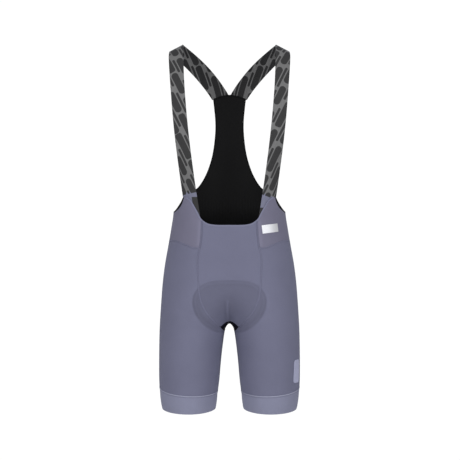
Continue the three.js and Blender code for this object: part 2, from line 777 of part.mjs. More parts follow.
function strapGrid() {
  const corner = BACK_EDGE[BACK_EDGE.length - 1];
  const backTop = (p) => lerp(corner.middle, corner.z, (p.x / corner.x) ** 2) + STRAP_CLEAR;
  const [frontEnd, backEnd] = [-shoulderTop, shoulderLength - shoulderTop];
  const lines = steps(STRAP_COLUMNS).map((t) => {
    const share = 2 * t - 1;
    return {
      share,
      from: strapEnd(share, () => STRAP_FOOT_Z, 0, frontEnd + OVER_SHOULDER),
      to: strapEnd(share, backTop, OVER_SHOULDER, backEnd - OVER_SHOULDER),
    };
  });
  return steps(STRAP_STEPS).map((t) =>
    lines.map(({ share, from, to }) => {
      const around = lerp(from, to, t);
      const point = strapPoint(around, share);
      const along = strapPoint(around + PROBE, share).sub(strapPoint(around - PROBE, share));
      const outer = strapPoint(around, share - SHARE_PROBE);
      const sideways = outer.sub(strapPoint(around, share + SHARE_PROBE));
      return { point, normal: sideways.cross(along).normalize() };
    }),
  );
}

function tabGrid() {
  return steps(TAB_COUNTS.rows).map((v) =>
    steps(TAB_COUNTS.columns).map((h) => {
      const [a, b] = [(h - 0.5) * TAB.width, (v - 0.5) * TAB.height];
      const x = TAB.x + a * Math.cos(TAB.turn) - b * Math.sin(TAB.turn);
      const z = TAB.z + a * Math.sin(TAB.turn) + b * Math.cos(TAB.turn);
      return vertexAt(surfacePoint(x, z, "front"));
    }),
  );
}

function barGrid() {
  const ends = [BAR.from, BAR.to].map((x) => placeAt(x, BAR.z, "front").fromSide);
  return steps(BAR_COUNTS.rows).map((v) => {
    const intoEnd = Math.max((Math.abs(2 * v - 1) - 1) / BAR_END.share + 1, 0);
    const round = Math.sqrt(1 - BAR_END.narrowing * intoEnd ** 2);
    return steps(BAR_COUNTS.columns).map((h) => {
      const fromSide = lerp(ends[0], ends[1], 0.5 + (h - 0.5) * round);
      return vertexAt(onBody({ fromSide, z: BAR.z + (v - 0.5) * BAR.height }, "front"));
    });
  });
}

const cloth = (color, roughness = 0.75) =>
  new THREE.MeshStandardMaterial({ color, roughness, metalness: 0 });
const knit = cloth(0x6d6f85);
const wingCloth = cloth(0x72717f);
const bandCloth = cloth(0x818398);
const black = cloth(0x141414, 0.85);
const elastic = cloth(0x6a6a6a, 0.8);
const satin = cloth(0xdadbe2, 0.35);
const print = cloth(0x9597ac, 0.5);
const foam = cloth(0x2a2b33, 0.9);

const padDepth = (j, i) => {
  const [v, h] = [(2 * j) / PAD_ROWS - 1, (2 * i) / PAD_COLUMNS - 1];
  return PAD_EDGE + PAD_CROWN * Math.max(1 - v ** 6, 0) * Math.max(1 - h ** 4, 0);
};

const garment = new THREE.Group();
garment.add(wallOver("front_centre", frontGrid(), knit));
garment.add(wallOver("back_panel", backGrid(), black, { wall: MESH }));
garment.add(wallOver("crotch_gusset", gussetGrid(), black));
garment.add(
  wallOver("seat_pad", padGrid(), foam, { wall: padDepth, lift: -CLOTH - PAD_CLEAR, seam: false }),
);

const paired = [
  ["wing", wingGrid, wingCloth, {}],
  ["leg", legGrid, knit, {}],
  ["seat", seatGrid, knit, {}],
  ["band", bandGrid, bandCloth, { wraps: true }],
  ["strap", strapGrid, elastic, { wall: ELASTIC, seam: false }],
];
for (const [name, gridOf, material, options] of paired) {
  garment.add(wallOver(name + "_left", gridOf(), material, options));
  garment.add(wallOver(name + "_right", mirrored(gridOf()), material, options));
}

const laidOn = (wall) => ({ wall, lift: SEAM_GAP + wall, seam: false });
garment.add(wallOver("wing_tab", tabGrid(), satin, laidOn(TAB_WALL)));
garment.add(wallOver("leg_bar", barGrid(), print, laidOn(BAR_WALL)));

export default garment;
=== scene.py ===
"""Cycling bib shorts, worn and filled out: the visible cloth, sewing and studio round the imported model.

Sizes are in millimetres in the tables and constants, and in metres everywhere else.
+Z is up, -Y is the front and +X the wearer's left.
"""
import logging
import math
from dataclasses import dataclass, field, replace
from enum import Enum
from typing import Callable, Sequence

import bpy
import numpy as np
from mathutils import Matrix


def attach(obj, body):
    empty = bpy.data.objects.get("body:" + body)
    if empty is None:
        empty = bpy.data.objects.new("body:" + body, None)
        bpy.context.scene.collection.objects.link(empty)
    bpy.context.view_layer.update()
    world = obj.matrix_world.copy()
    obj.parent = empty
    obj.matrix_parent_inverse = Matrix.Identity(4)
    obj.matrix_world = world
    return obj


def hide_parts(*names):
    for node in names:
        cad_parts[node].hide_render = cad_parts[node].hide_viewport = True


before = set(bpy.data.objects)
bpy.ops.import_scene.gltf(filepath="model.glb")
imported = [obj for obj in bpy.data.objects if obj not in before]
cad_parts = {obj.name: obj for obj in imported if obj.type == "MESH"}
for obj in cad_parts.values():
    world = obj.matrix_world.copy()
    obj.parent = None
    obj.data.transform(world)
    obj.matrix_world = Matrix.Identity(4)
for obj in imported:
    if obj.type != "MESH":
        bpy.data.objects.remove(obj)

Array = np.ndarray
Value = float | bpy.types.NodeSocket

MM = 0.001
PROBE = 0.4 * MM
TAU = 2 * math.pi
LOG = logging.getLogger("bib shorts")


class Side(Enum):
    """Front or back of the body, with the sign of its depth."""

    FRONT = -1
    BACK = 1


class Hand(Enum):
    """The wearer's left or right, with the sign of its X."""

    LEFT = 1
    RIGHT = -1

    @property
    def word(self) -> str:
        """The name's ending for this hand."""
        return self.name.lower()


class Hold(Enum):
    """How a sheet of cloth is held."""

    STRETCHED = "stretched"
    LAID = "laid"


def unit(vectors: Array) -> Array:
    """Vectors of length one."""
    return vectors / np.maximum(np.linalg.norm(vectors, axis=-1, keepdims=True), 1e-12)


def ease(low: float, high: float, value: Array) -> Array:
    """Smooth step from 0 at low to 1 at high."""
    t = np.clip((value - low) / (high - low), 0, 1)
    return t * t * (3 - 2 * t)


def mix(a: Array, b: Array, t: Array) -> Array:
    """The value at share t of the way from a to b."""
    return a + (b - a) * t


# Rows of the filled-out body: level, half width, depth of front and of back, half of the flat middle.
BODY_ROWS = (
    (-60, 150, 100, 80, 60),
    (-200, 150, 106, 88, 60),
    (-300, 144, 106, 86, 60),
    (-372, 139, 105, 82, 60),
    (-408, 136.5, 105, 81, 60),
    (-448, 142, 107, 88, 57),
    (-492, 149.5, 109, 99, 53),
    (-537, 157.5, 110, 110, 52),
    (-581, 163, 110, 116, 57),
    (-625, 166.5, 109, 116, 68),
    (-669, 169.3, 107, 110, 82),
    (-698, 170.8, 104, 103, 89),
    (-728, 171.5, 101, 96, 92),
    (-772, 172, 96, 86, 95),
    (-816, 171.8, 90, 76, 97),
    (-845, 170.5, 87, 70, 98),
    (-875, 167.6, 83, 63, 98.5),
    (-905, 162, 79, 57, 98.5),
)
# Half of the gap between the thighs, by the drop below the crotch.
GAP_ROWS = ((0, 0), (4, 6.4), (18, 12), (48, 16.7), (92, 21.7), (136, 25.5), (165, 29), (195, 32), (230, 37))
# Seam between the centre front and the side pieces: level and distance from the middle.
FRONT_SEAM_ROWS = (
    (-690, 23),
    (-670, 39),
    (-651, 54),
    (-626, 66.5),
    (-596, 72.5),
    (-540, 76),
    (-515, 74.8),
    (-500, 72),
    (-485, 69),
    (-460, 66.5),
    (-431, 65.5),
)
# Seam under the wing: share of the way from the front seam to the side seam, and level.
WING_SEAM_ROWS = ((0, -497), (0.12, -495.5), (0.2, -491.5), (0.31, -486.8), (0.42, -482.6), (0.54, -480), (1, -480))
# Free edges, each a distance from the middle and a level.
WING_SCOOP_ROWS = ((65.5, -431), (71, -424.5), (76.5, -413), (84.5, -399), (92, -386), (98.5, -379.5), (105.5, -376))
ARMHOLE_ROWS = ((136.5, -408), (129.5, -404), (120.5, -396), (114.5, -385), (111.5, -374))
FRONT_SCOOP_ROWS = ((0, -443), (30, -442.8), (46, -441), (56, -437.5), (65.5, -431))
# Free edge of the back panel: distance from the middle, its level, and the level of its row's middle.
BACK_EDGE_ROWS = (
    (136.5, -408, -408),
    (128.6, -396, -396),
    (120.6, -382, -380),
    (115, -370, -364),
    (101, -359, -348),
    (80, -347, -332),
    (61.5, -319, -312),
    (48.5, -286, -282),
    (40.5, -252, -248),
    (35.8, -210, -206),
    (35.6, -178, -172),
    (38.5, -146, -138),
    (40.8, -125.7, -115.4),
)
# Line over the shoulder in the plane square to the fold: forward distance and height.
SHOULDER_ROWS = (
    (-84, -500),
    (-86, -340),
    (-91, -270),
    (-93, -200),
    (-88, -140),
    (-76, -88),
    (-55, -42),
    (-28, -11),
    (0, 0),
    (28, -11),
    (56, -42),
    (76, -90),
    (86, -150),
    (92, -230),
)
# Crotch gusset's edge from halfway over a corner to the middle of its end, and seat pad: distance
# along the middle line from its lowest point, and half width.
GUSSET_ROWS = ((0, 21), (43.5, 31), (33, 0))
PAD_ROWS = (
    (-142, 14),
    (-139, 40),
    (-133, 62),
    (-122, 80),
    (-105, 89),
    (-84, 88),
    (-60, 70),
    (-36, 46),
    (-12, 32),
    (12, 32),
    (36, 46),
    (60, 70),
    (84, 92),
    (108, 98),
    (130, 90),
    (144, 60),
    (149, 16),
)
# Outline that the pad draws on the front panels, from the crotch up: distance from the middle and level.
PAD_SHOWS = (
    (24, -702),
    (34, -698.5),
    (46, -691.5),
    (62, -679),
    (74.6, -664.6),
    (83.5, -648),
    (87.9, -631),
    (87.9, -618),
    (85, -607),
    (78.4, -595.6),
    (70.5, -587.4),
    (62, -581.3),
    (50, -576.4),
    (34, -573.4),
    (17, -572.3),
    (0, -572),
)


class Profile:
    """A smooth curve through rows of millimetres, read and answered in metres."""

    def __init__(self, rows: Sequence[Sequence[float]], column: int = 1, key_scale: float = MM) -> None:
        """Args: rows: the table. column: the one to answer. key_scale: what its first column is times."""
        keys = np.array([row[0] for row in rows], float) * key_scale
        values = np.array([row[column] for row in rows], float) * MM
        if keys[0] > keys[-1]:
            keys, values = keys[::-1], values[::-1]
        last = len(keys) - 1
        ahead = np.minimum(np.arange(last + 1) + 1, last)
        behind = np.maximum(np.arange(last + 1) - 1, 0)
        self.keys, self.values, self.last = keys, values, last
        self.slopes = (values[ahead] - values[behind]) / (keys[ahead] - keys[behind])

    def __call__(self, place: Array | float) -> Array:
        """The value at a place on the first column."""
        at = np.clip(place, self.keys[0], self.keys[-1])
        i = np.clip(np.searchsorted(self.keys, at) - 1, 0, self.last - 1)
        span = self.keys[i + 1] - self.keys[i]
        t = (at - self.keys[i]) / span
        t2, t3 = t * t, t * t * t
        return (
            (2 * t3 - 3 * t2 + 1) * self.values[i]
            + (t3 - 2 * t2 + t) * span * self.slopes[i]
            + (3 * t2 - 2 * t3) * self.values[i + 1]
            + (t3 - t2) * span * self.slopes[i + 1]
        )


def path_through(rows: Sequence[Sequence[float]], t: Array) -> Array:
    """Points of a smooth line through rows of two numbers, at shares t of its row count.

    Args:
        rows: rows of (across, level) in millimetres.
        t: shares from 0 to 1.

    Returns:
        An array of (across, level) in metres.
    """
    places = np.asarray(t) * (len(rows) - 1)
    curves = [Profile([(k, row[c]) for k, row in enumerate(rows)], 1, 1.0) for c in (0, 1)]
    return np.stack([curve(places) for curve in curves], axis=-1)


@dataclass
class Places:
    """Places on the body: distance in from the side seam, and level."""

    side: Side
    from_side: Array
    z: Array

    def upto(self, other: "Places", shares: Array) -> "Places":
        """A grid of places, from each of these in its row to the other's."""
        return Places(
            self.side,
            mix(self.from_side[:, None], other.from_side[:, None], shares[None, :]),
            mix(self.z[:, None], other.z[:, None], shares[None, :]),
        )

    @staticmethod
    def chain(*parts: "Places") -> "Places":
        """Several lists of places in one, end to end."""
        return Places(
            parts[0].side,
            np.concatenate([part.from_side for part in parts]),
            np.concatenate([part.z for part in parts]),
        )


@dataclass
class BodyForm:
    """The form that fills the garment, which the cloth lies on."""

    mid_y: float = 8 * MM
    crotch_z: float = -681 * MM
    front_rise: float = 90 * MM
    back_rise: float = 112 * MM
    middle_round: float = 20 * MM
    slice_steps: int = 48
    half: Profile = field(default_factory=lambda: Profile(BODY_ROWS, 1))
    front: Profile = field(default_factory=lambda: Profile(BODY_ROWS, 2))
    back: Profile = field(default_factory=lambda: Profile(BODY_ROWS, 3))
    flat: Profile = field(default_factory=lambda: Profile(BODY_ROWS, 4))

    def __post_init__(self) -> None:
        """Lays out the gap between the thighs and the crotch's middle line."""
        self.gap = Profile([(math.sqrt(drop), half) for drop, half in GAP_ROWS], 1, 1.0)
        steps = np.linspace(0, 1, 161)[1:] ** 2
        parts = []
        for side, rise in ((Side.FRONT, self.front_rise), (Side.BACK, self.back_rise)):
            z = np.concatenate([[self.crotch_z], self.crotch_z + 1.6 * rise * steps])
            y = np.concatenate([[self.mid_y], self.depth_at(np.zeros(160), z[1:], side)])
            along = np.concatenate([[0], np.cumsum(np.hypot(np.diff(y), np.diff(z)))])
            parts.append((along * side.value, y, z))
        (fa, fy, fz), (ba, by, bz) = parts
        self.middle_along = np.concatenate([fa[:0:-1], ba])
        self.middle_y = np.concatenate([fy[:0:-1], by])
        self.middle_z = np.concatenate([fz[:0:-1], bz])

    def swell(self, x: Array, flat: Array) -> Array:
        """Share of a thigh's depth squared that it has gained at x."""
        soft = np.hypot(x, self.middle_round) - self.middle_round
        full = np.hypot(flat, self.middle_round) - self.middle_round
        return 1 - (1 - soft / full) ** 2

    def half_gap(self, z: Array) -> Array:
        """Half of the gap between the thighs at a level."""
        drop = np.maximum(self.crotch_z - z, 0) / MM
        return np.where(z < self.crotch_z, self.gap(np.sqrt(drop)), 0)

    def middle(self, z: Array, side: Side) -> Array:
        """How far the middle reaches, as a share of the depth squared."""
        rise = self.front_rise if side is Side.FRONT else self.back_rise
        t = np.clip((z - self.crotch_z) / rise, 0, 1)
        swell = self.swell(self.half_gap(z), self.flat(z))
        return np.where(z >= self.crotch_z, t + t * t - t**3, -swell / (1 - swell))

    def depth(self, z: Array, side: Side) -> Array:
        """Full depth of one side at a level."""
        return self.front(z) if side is Side.FRONT else self.back(z)

    def reach(self, x: Array, z: Array, side: Side) -> Array:
        """Share of the full depth squared at x on a level."""
        half, flat, middle = self.half(z), self.flat(z), self.middle(z, side)
        outer = 1 - ((x - flat) / (half - flat)) ** 2
        return np.where(x > flat, outer, middle + (1 - middle) * self.swell(x, flat))

    def depth_at(self, x: Array, z: Array, side: Side) -> Array:
        """Y of the body's surface at x on a level."""
        share = np.sqrt(np.maximum(self.reach(np.abs(x), z, side), 0))
        return self.mid_y + side.value * self.depth(z, side) * share

    def surface(self, x: Array, z: Array, side: Side) -> Array:
        """Points on the surface at x on a level."""
        x, z = np.broadcast_arrays(np.asarray(x, float), np.asarray(z, float))
        return np.stack([x, self.depth_at(x, z, side), z], axis=-1)

    def outside(self, x: Array, y: Array, z: Array) -> Array:
        """Below zero inside the body and above zero outside."""
        values = []
        for side in Side:
            share = ((y - self.mid_y) / self.depth(z, side)) ** 2
            values.append(share - self.reach(np.abs(x), z, side))
        return np.where(y < self.mid_y, *values)

    def outward(self, points: Array) -> Array:
        """Unit normals of the body at points on it."""
        x, y, z = points[..., 0], points[..., 1], points[..., 2]
        return unit(
            np.stack(
                [
                    self.outside(x + PROBE, y, z) - self.outside(x - PROBE, y, z),
                    self.outside(x, y + PROBE, z) - self.outside(x, y - PROBE, z),
                    self.outside(x, y, z + PROBE) - self.outside(x, y, z - PROBE),
                ],
                axis=-1,
            )
        )

    def slices(self, z: Array, side: Side) -> tuple[Array, Array, Array]:
        """Lines of several levels, from the middle or the inseam to the side seam.

        Args:
            z: levels, in a flat array.
            side: front or back.

        Returns:
            Arrays of x, depth and length so far, one row for each level.
        """
        t = np.linspace(0, 2, 2 * self.slice_steps + 1)[None, :]
        level = z[:, None]
        gap, flat, half = self.half_gap(level), self.flat(level), self.half(level)
        inner = mix(gap, flat, t * t)
        outer = mix(flat, half, np.sin((t - 1) * math.pi / 2))
        x = np.where(t <= 1, inner, outer)
        depth = self.depth(level, side) * np.sqrt(np.maximum(self.reach(x, level, side), 0))
        length = np.cumsum(np.hypot(np.diff(x), np.diff(depth)), axis=1)
        return x, depth, np.concatenate([np.zeros((len(z), 1)), length], axis=1)

    def length(self, z: Array, side: Side) -> Array:
        """Length of a level's line."""
        shape = np.shape(z)
        return self.slices(np.ravel(z), side)[2][:, -1].reshape(shape)

    def points(self, places: Places) -> Array:
        """Points on the body at places, for +X."""
        shape = places.z.shape
        z, from_side = places.z.ravel(), places.from_side.ravel()
        x, depth, length = self.slices(z, places.side)
        target = np.maximum(length[:, -1] - from_side, 0)
        i = np.clip((length < target[:, None]).sum(axis=1), 1, x.shape[1] - 1)
        row = np.arange(len(z))
        before, after = length[row, i - 1], length[row, i]
        t = (target - before) / np.maximum(after - before, 1e-9)
        px = mix(x[row, i - 1], x[row, i], t)
        py = self.mid_y + places.side.value * mix(depth[row, i - 1], depth[row, i], t)
        return np.stack([px, py, z], axis=-1).reshape(*shape, 3)

    def places(self, x: Array, z: Array, side: Side) -> Places:
        """Places of points given by x and level."""
        x, z = np.broadcast_arrays(np.asarray(x, float), np.asarray(z, float))
        xs, _, length = self.slices(z.ravel(), side)
        target = np.clip(np.abs(x.ravel()), xs[:, 0], xs[:, -1])
        i = np.clip((xs < target[:, None]).sum(axis=1), 1, xs.shape[1] - 1)
        row = np.arange(len(target))
        t = (target - xs[row, i - 1]) / np.maximum(xs[row, i] - xs[row, i - 1], 1e-9)
        arc = mix(length[row, i - 1], length[row, i], t)
        return Places(side, (length[:, -1] - arc).reshape(x.shape), z.copy())

    def inner_line(self, z: Array, side: Side) -> Places:
        """Places on the middle or the inseam."""
        return Places(side, self.length(z, side), np.array(z, float))

    def middle_points(self, along: Array) -> Array:
        """Points of the crotch's middle line, by length from its lowest point."""
        y = np.interp(along, self.middle_along, self.middle_y)
        z = np.interp(along, self.middle_along, self.middle_z)
        return np.stack([np.zeros_like(y), y, z], axis=-1)

    def cross_lines(self, along: Array, reach: float) -> Array:
        """Lines over the body square to the middle line, in steps of a millimetre.

        Args:
            along: where each line starts on the middle line.
            reach: length of the lines.

        Returns:
            An array of lines, each of points for +X.
        """
        start = self.middle_points(along)
        normal = self.outward(start)

        def at(x: Array, s: Array) -> Array:
            return start + np.stack([x, s * normal[:, 1], s * normal[:, 2]], axis=-1)

        def value(x: Array, s: Array) -> Array:
            p = at(x, s)
            return self.outside(p[:, 0], p[:, 1], p[:, 2])

        x, s = np.zeros(len(along)), np.zeros(len(along))
        line = [start]
        for _ in range(int(reach / MM) + 2):
            for settling in range(4):
                gx = (value(x + PROBE, s) - value(x - PROBE, s)) / (2 * PROBE)
                gs = (value(x, s + PROBE) - value(x, s - PROBE)) / (2 * PROBE)
                size = np.hypot(gx, gs)
                if settling == 0:
                    x, s = x + gs / size * MM, s - gx / size * MM
                else:
                    off = value(x, s) / size**2
                    x, s = x - off * gx, s - off * gs
            line.append(at(x, s))
        return np.stack(line, axis=1)

    def over_middle(self, along: Array, half: Array, shares: Array) -> Array:
        """A grid over the middle line: a row for each length along, from -X to +X.

        Args:
            along: length along the middle line for each row.
            half: half width of each row.
            shares: places across, from -1 to 1.

        Returns:
            A grid of points.
        """
        lines = self.cross_lines(along, float(np.max(half)))
        far = np.abs(shares)[None, :] * half[:, None] / MM
        i = np.minimum(far.astype(int), lines.shape[1] - 2)
        row = np.arange(len(along))[:, None]
        grid = mix(lines[row, i], lines[row, i + 1], (far - i)[..., None])
        grid[..., 0] *= np.where(shares < 0, -1, 1)[None, :]
        return grid


@dataclass
class SeamLines:
    """The seams and free edges that neighbouring panels share."""

    form: BodyForm
    band_top_z: float = -843.2 * MM
    band_tilt: float = 0.11
    band_rise: float = 10 * MM
    hem_z: float = -889 * MM
    hem_tilt: float = 0.085
    waist_z: float = -480 * MM
    side_top_z: float = -408 * MM
    wing_corner_z: float = -497 * MM
    scoop_corner_z: float = -431 * MM

    def __post_init__(self) -> None:
        """Finds the gusset's corners."""
        self.front_x = Profile(FRONT_SEAM_ROWS)
        self.wing_seam_z = Profile(WING_SEAM_ROWS, 1, 1.0)
        self.corner = self.gusset_edge(Side.FRONT, np.array([1.0]))[0]
        self.wing_corner = self.front_seam(np.array([self.wing_corner_z]))

    def gusset_row(self, t: Array) -> tuple[Array, Array]:
        """Length along and half width of a gusset row.

        Args:
            t: 0 at the middle, 1 at the corner, 2 at the tip.

        Returns:
            Arrays of length along and of half width.
        """
        along, half = (np.array(values) * MM for values in zip(*GUSSET_ROWS))
        return np.interp(t, [0, 1, 2], along), np.interp(t, [0, 1, 2], half)

    def gusset_edge(self, side: Side, t: Array) -> Array:
        """Points of the gusset's edge at +X, from the middle over the corner to the tip."""
        along, half = self.gusset_row(t)
        return self.form.over_middle(along * side.value, half, np.array([1.0]))[:, 0]

    def ring(self, share: Array, side: Side, level: float, tilt: float, rise: float = 0.0) -> Places:
        """Places of a ring round a leg that drops towards the front.

        Args:
            share: 0 at the inseam and 1 at the side seam.
            side: front or back.
            level: its level halfway between inseam and side seam, at their depth.
            tilt: its drop for each metre forward.
            rise: how much higher it is at the side seam than at the inseam.

        Returns:
            The ring's places.
        """
        base = np.full(np.shape(share), level)
        flat = self.form.points(Places(side, (1 - share) * self.form.length(base, side), base))
        z = level + tilt * (flat[..., 1] - self.form.mid_y) + rise * (share - 0.5)
        return Places(side, (1 - share) * self.form.length(z, side), z)

    def band_top(self, share: Array, side: Side) -> Places:
        """The seam over the gripper band."""
        return self.ring(share, side, self.band_top_z, self.band_tilt, self.band_rise)

    @property
    def band_side_z(self) -> float:
        """Level of the band's top at the side seam."""
        return self.band_top_z + self.band_rise / 2

    def hem(self, share: Array, side: Side) -> Places:
        """The leg's lower edge."""
        return self.ring(share, side, self.hem_z, self.hem_tilt)

    def inseam(self, t: Array, side: Side) -> Places:
        """The inseam, from the band up to the gusset."""
        top = self.gusset_edge(side, np.array([0.0]))[0, 2]
        return self.form.inner_line(mix(self.band_top_z - self.band_rise / 2, top, t**0.8), side)

    def front_seam(self, z: Array) -> Places:
        """The seam beside the centre front."""
        return self.form.places(self.front_x(z), z, Side.FRONT)

    def side_seam(self, low: float, high: float, t: Array, side: Side) -> Places:
        """The side seam between two levels."""
        return Places(side, np.zeros_like(t), mix(low, high, t))

    def wing_seam(self, share: Array) -> Places:
        """The seam under a wing, from the front seam to the side seam."""
        return Places(Side.FRONT, (1 - share) * self.wing_corner.from_side[0], self.wing_seam_z(share) * 1.0)

    def edge(self, rows: Sequence[Sequence[float]], t: Array, side: Side) -> Places:
        """A free edge through rows of distance and level."""
        line = path_through([row[:2] for row in rows], t)
        return self.form.places(np.minimum(line[:, 0], self.form.half(line[:, 1])), line[:, 1], side)


@dataclass(frozen=True)
class Crease:
    """A soft trough or ridge along a line on one side of the body, in millimetres.

    Its line is points of distance from the middle and level. A height below zero is a trough. The tone is painted light
    and shade along the line: above zero a painted highlight on a ridge, below zero painted shade in a trough.
    """

    side: Side
    line: tuple[tuple[float, float], ...]
    height: float
    width: float
    tone: float = 0.0
    both: bool = True


@dataclass
class Relief:
    """What stands out of the cloth: the pad's outline, the centre seam and the creases, with painted highlights and
    painted shade along them and painted light round the crotch.
    """

    form: BodyForm
    plateau: float = 1.7 * MM
    groove: float = 0.6 * MM
    inner_ridge: float = 0.45 * MM
    pad_shade: float = 0.19
    # The next share is painted light: how much lighter the cloth is made round the crotch, against the shade there.
    crotch_lift: float = 0.30
    creases: tuple[Crease, ...] = ()

    def __post_init__(self) -> None:
        """Lays out the pad's outline as it shows on each side."""
        along = np.linspace(PAD_ROWS[0][0], PAD_ROWS[-1][0], 90) * MM
        half = Profile(PAD_ROWS)(along)
        edge = self.form.over_middle(along, half, np.array([1.0]))[:, 0]
        parts = {
            Side.FRONT: path_through(PAD_SHOWS, np.linspace(0, 1, 70)),
            Side.BACK: edge[along > 0][:, [0, 2]],
        }
        self.outlines = {side: np.concatenate([part, part[::-1] * [-1, 1]]) for side, part in parts.items()}

    @staticmethod
    def distance(points: Array, line: Array) -> Array:
        """Distance in the front view from points to a line of points."""
        best = np.full(len(points), np.inf)
        for a, b in zip(line[:-1], line[1:]):
            step = b - a
            t = np.clip((points - a) @ step / max(step @ step, 1e-12), 0, 1)
            best = np.minimum(best, np.linalg.norm(points - a - t[:, None] * step, axis=1))
        return best

    def pad_depth(self, points: Array, side: Side) -> Array:
        """Distance in from the pad's outline, below zero outside it."""
        outline = self.outlines[side]
        closed = np.concatenate([outline, outline[:1]])
        inside = np.zeros(len(points), bool)
        for (ax, az), (bx, bz) in zip(closed[:-1], closed[1:]):
            if az == bz:
                continue
            crosses = (az > points[:, 1]) != (bz > points[:, 1])
            at = ax + (points[:, 1] - az) * (bx - ax) / (bz - az)
            inside ^= crosses & (points[:, 0] < at)
        far = self.distance(points, closed)
        return np.where(inside, far, -far)

    def at(self, grid: Array, side: Side) -> tuple[Array, Array]:
        """Height of the relief, and tone of the cloth with its painted highlights, painted shade and painted light.

        Args:
            grid: points on the body.
            side: the side of the body that they lie on.

        Returns:
            Heights in metres, and what the colour is multiplied by.
        """
        shape = grid.shape[:-1]
        flat = grid.reshape(-1, 3)[:, [0, 2]]
        low_fade = ease(-0.700, -0.682, flat[:, 1])
        lower = ease(-0.600, -0.655, flat[:, 1])
        depth = self.pad_depth(flat, side)
        height = self.plateau * ease(-3 * MM, 7 * MM, depth) * low_fade
        height -= self.groove * np.exp(-((depth + 1 * MM) / (3 * MM)) ** 2) * low_fade
        height += self.inner_ridge * np.exp(-((depth - 6 * MM) / (2.2 * MM)) ** 2) * low_fade
        # Tone over the pad: darker over the pad by pad_shade, a painted highlight along the inner ridge that is weaker
        # low down, painted shade in a line just inside that ridge, and a darker band just inside the outline low down.
        tone = 1 - self.pad_shade * ease(-1.6 * MM, 1.6 * MM, depth)
        tone += 0.05 * (1 - 0.6 * lower) * np.exp(-((depth - 6 * MM) / (1.8 * MM)) ** 2)
        tone -= 0.035 * np.exp(-((depth - 11 * MM) / (2.2 * MM)) ** 2)
        tone -= 0.045 * lower * ease(1 * MM, 4 * MM, depth) * ease(19 * MM, 14 * MM, depth)
        # Painted light: the cloth round the crotch is made lighter, to lift the shade that falls under the crotch.
        from_crotch = np.hypot(flat[:, 0] / 1.3, flat[:, 1] - self.form.crotch_z)
        tone += self.crotch_lift * np.exp(-((from_crotch / (34 * MM)) ** 2))
        for crease in self.creases:
            if crease.side is not side:
                continue
            line = np.array(crease.line) * MM
            at = flat * [1, 1]
            if crease.both:
                at[:, 0] = np.abs(at[:, 0])
            far = self.distance(at, line) / (crease.width / 2 * MM)
            height += crease.height * MM * np.exp(-far * far)
            tone += crease.tone * np.exp(-far * far)
        return height.reshape(shape), tone.reshape(shape)


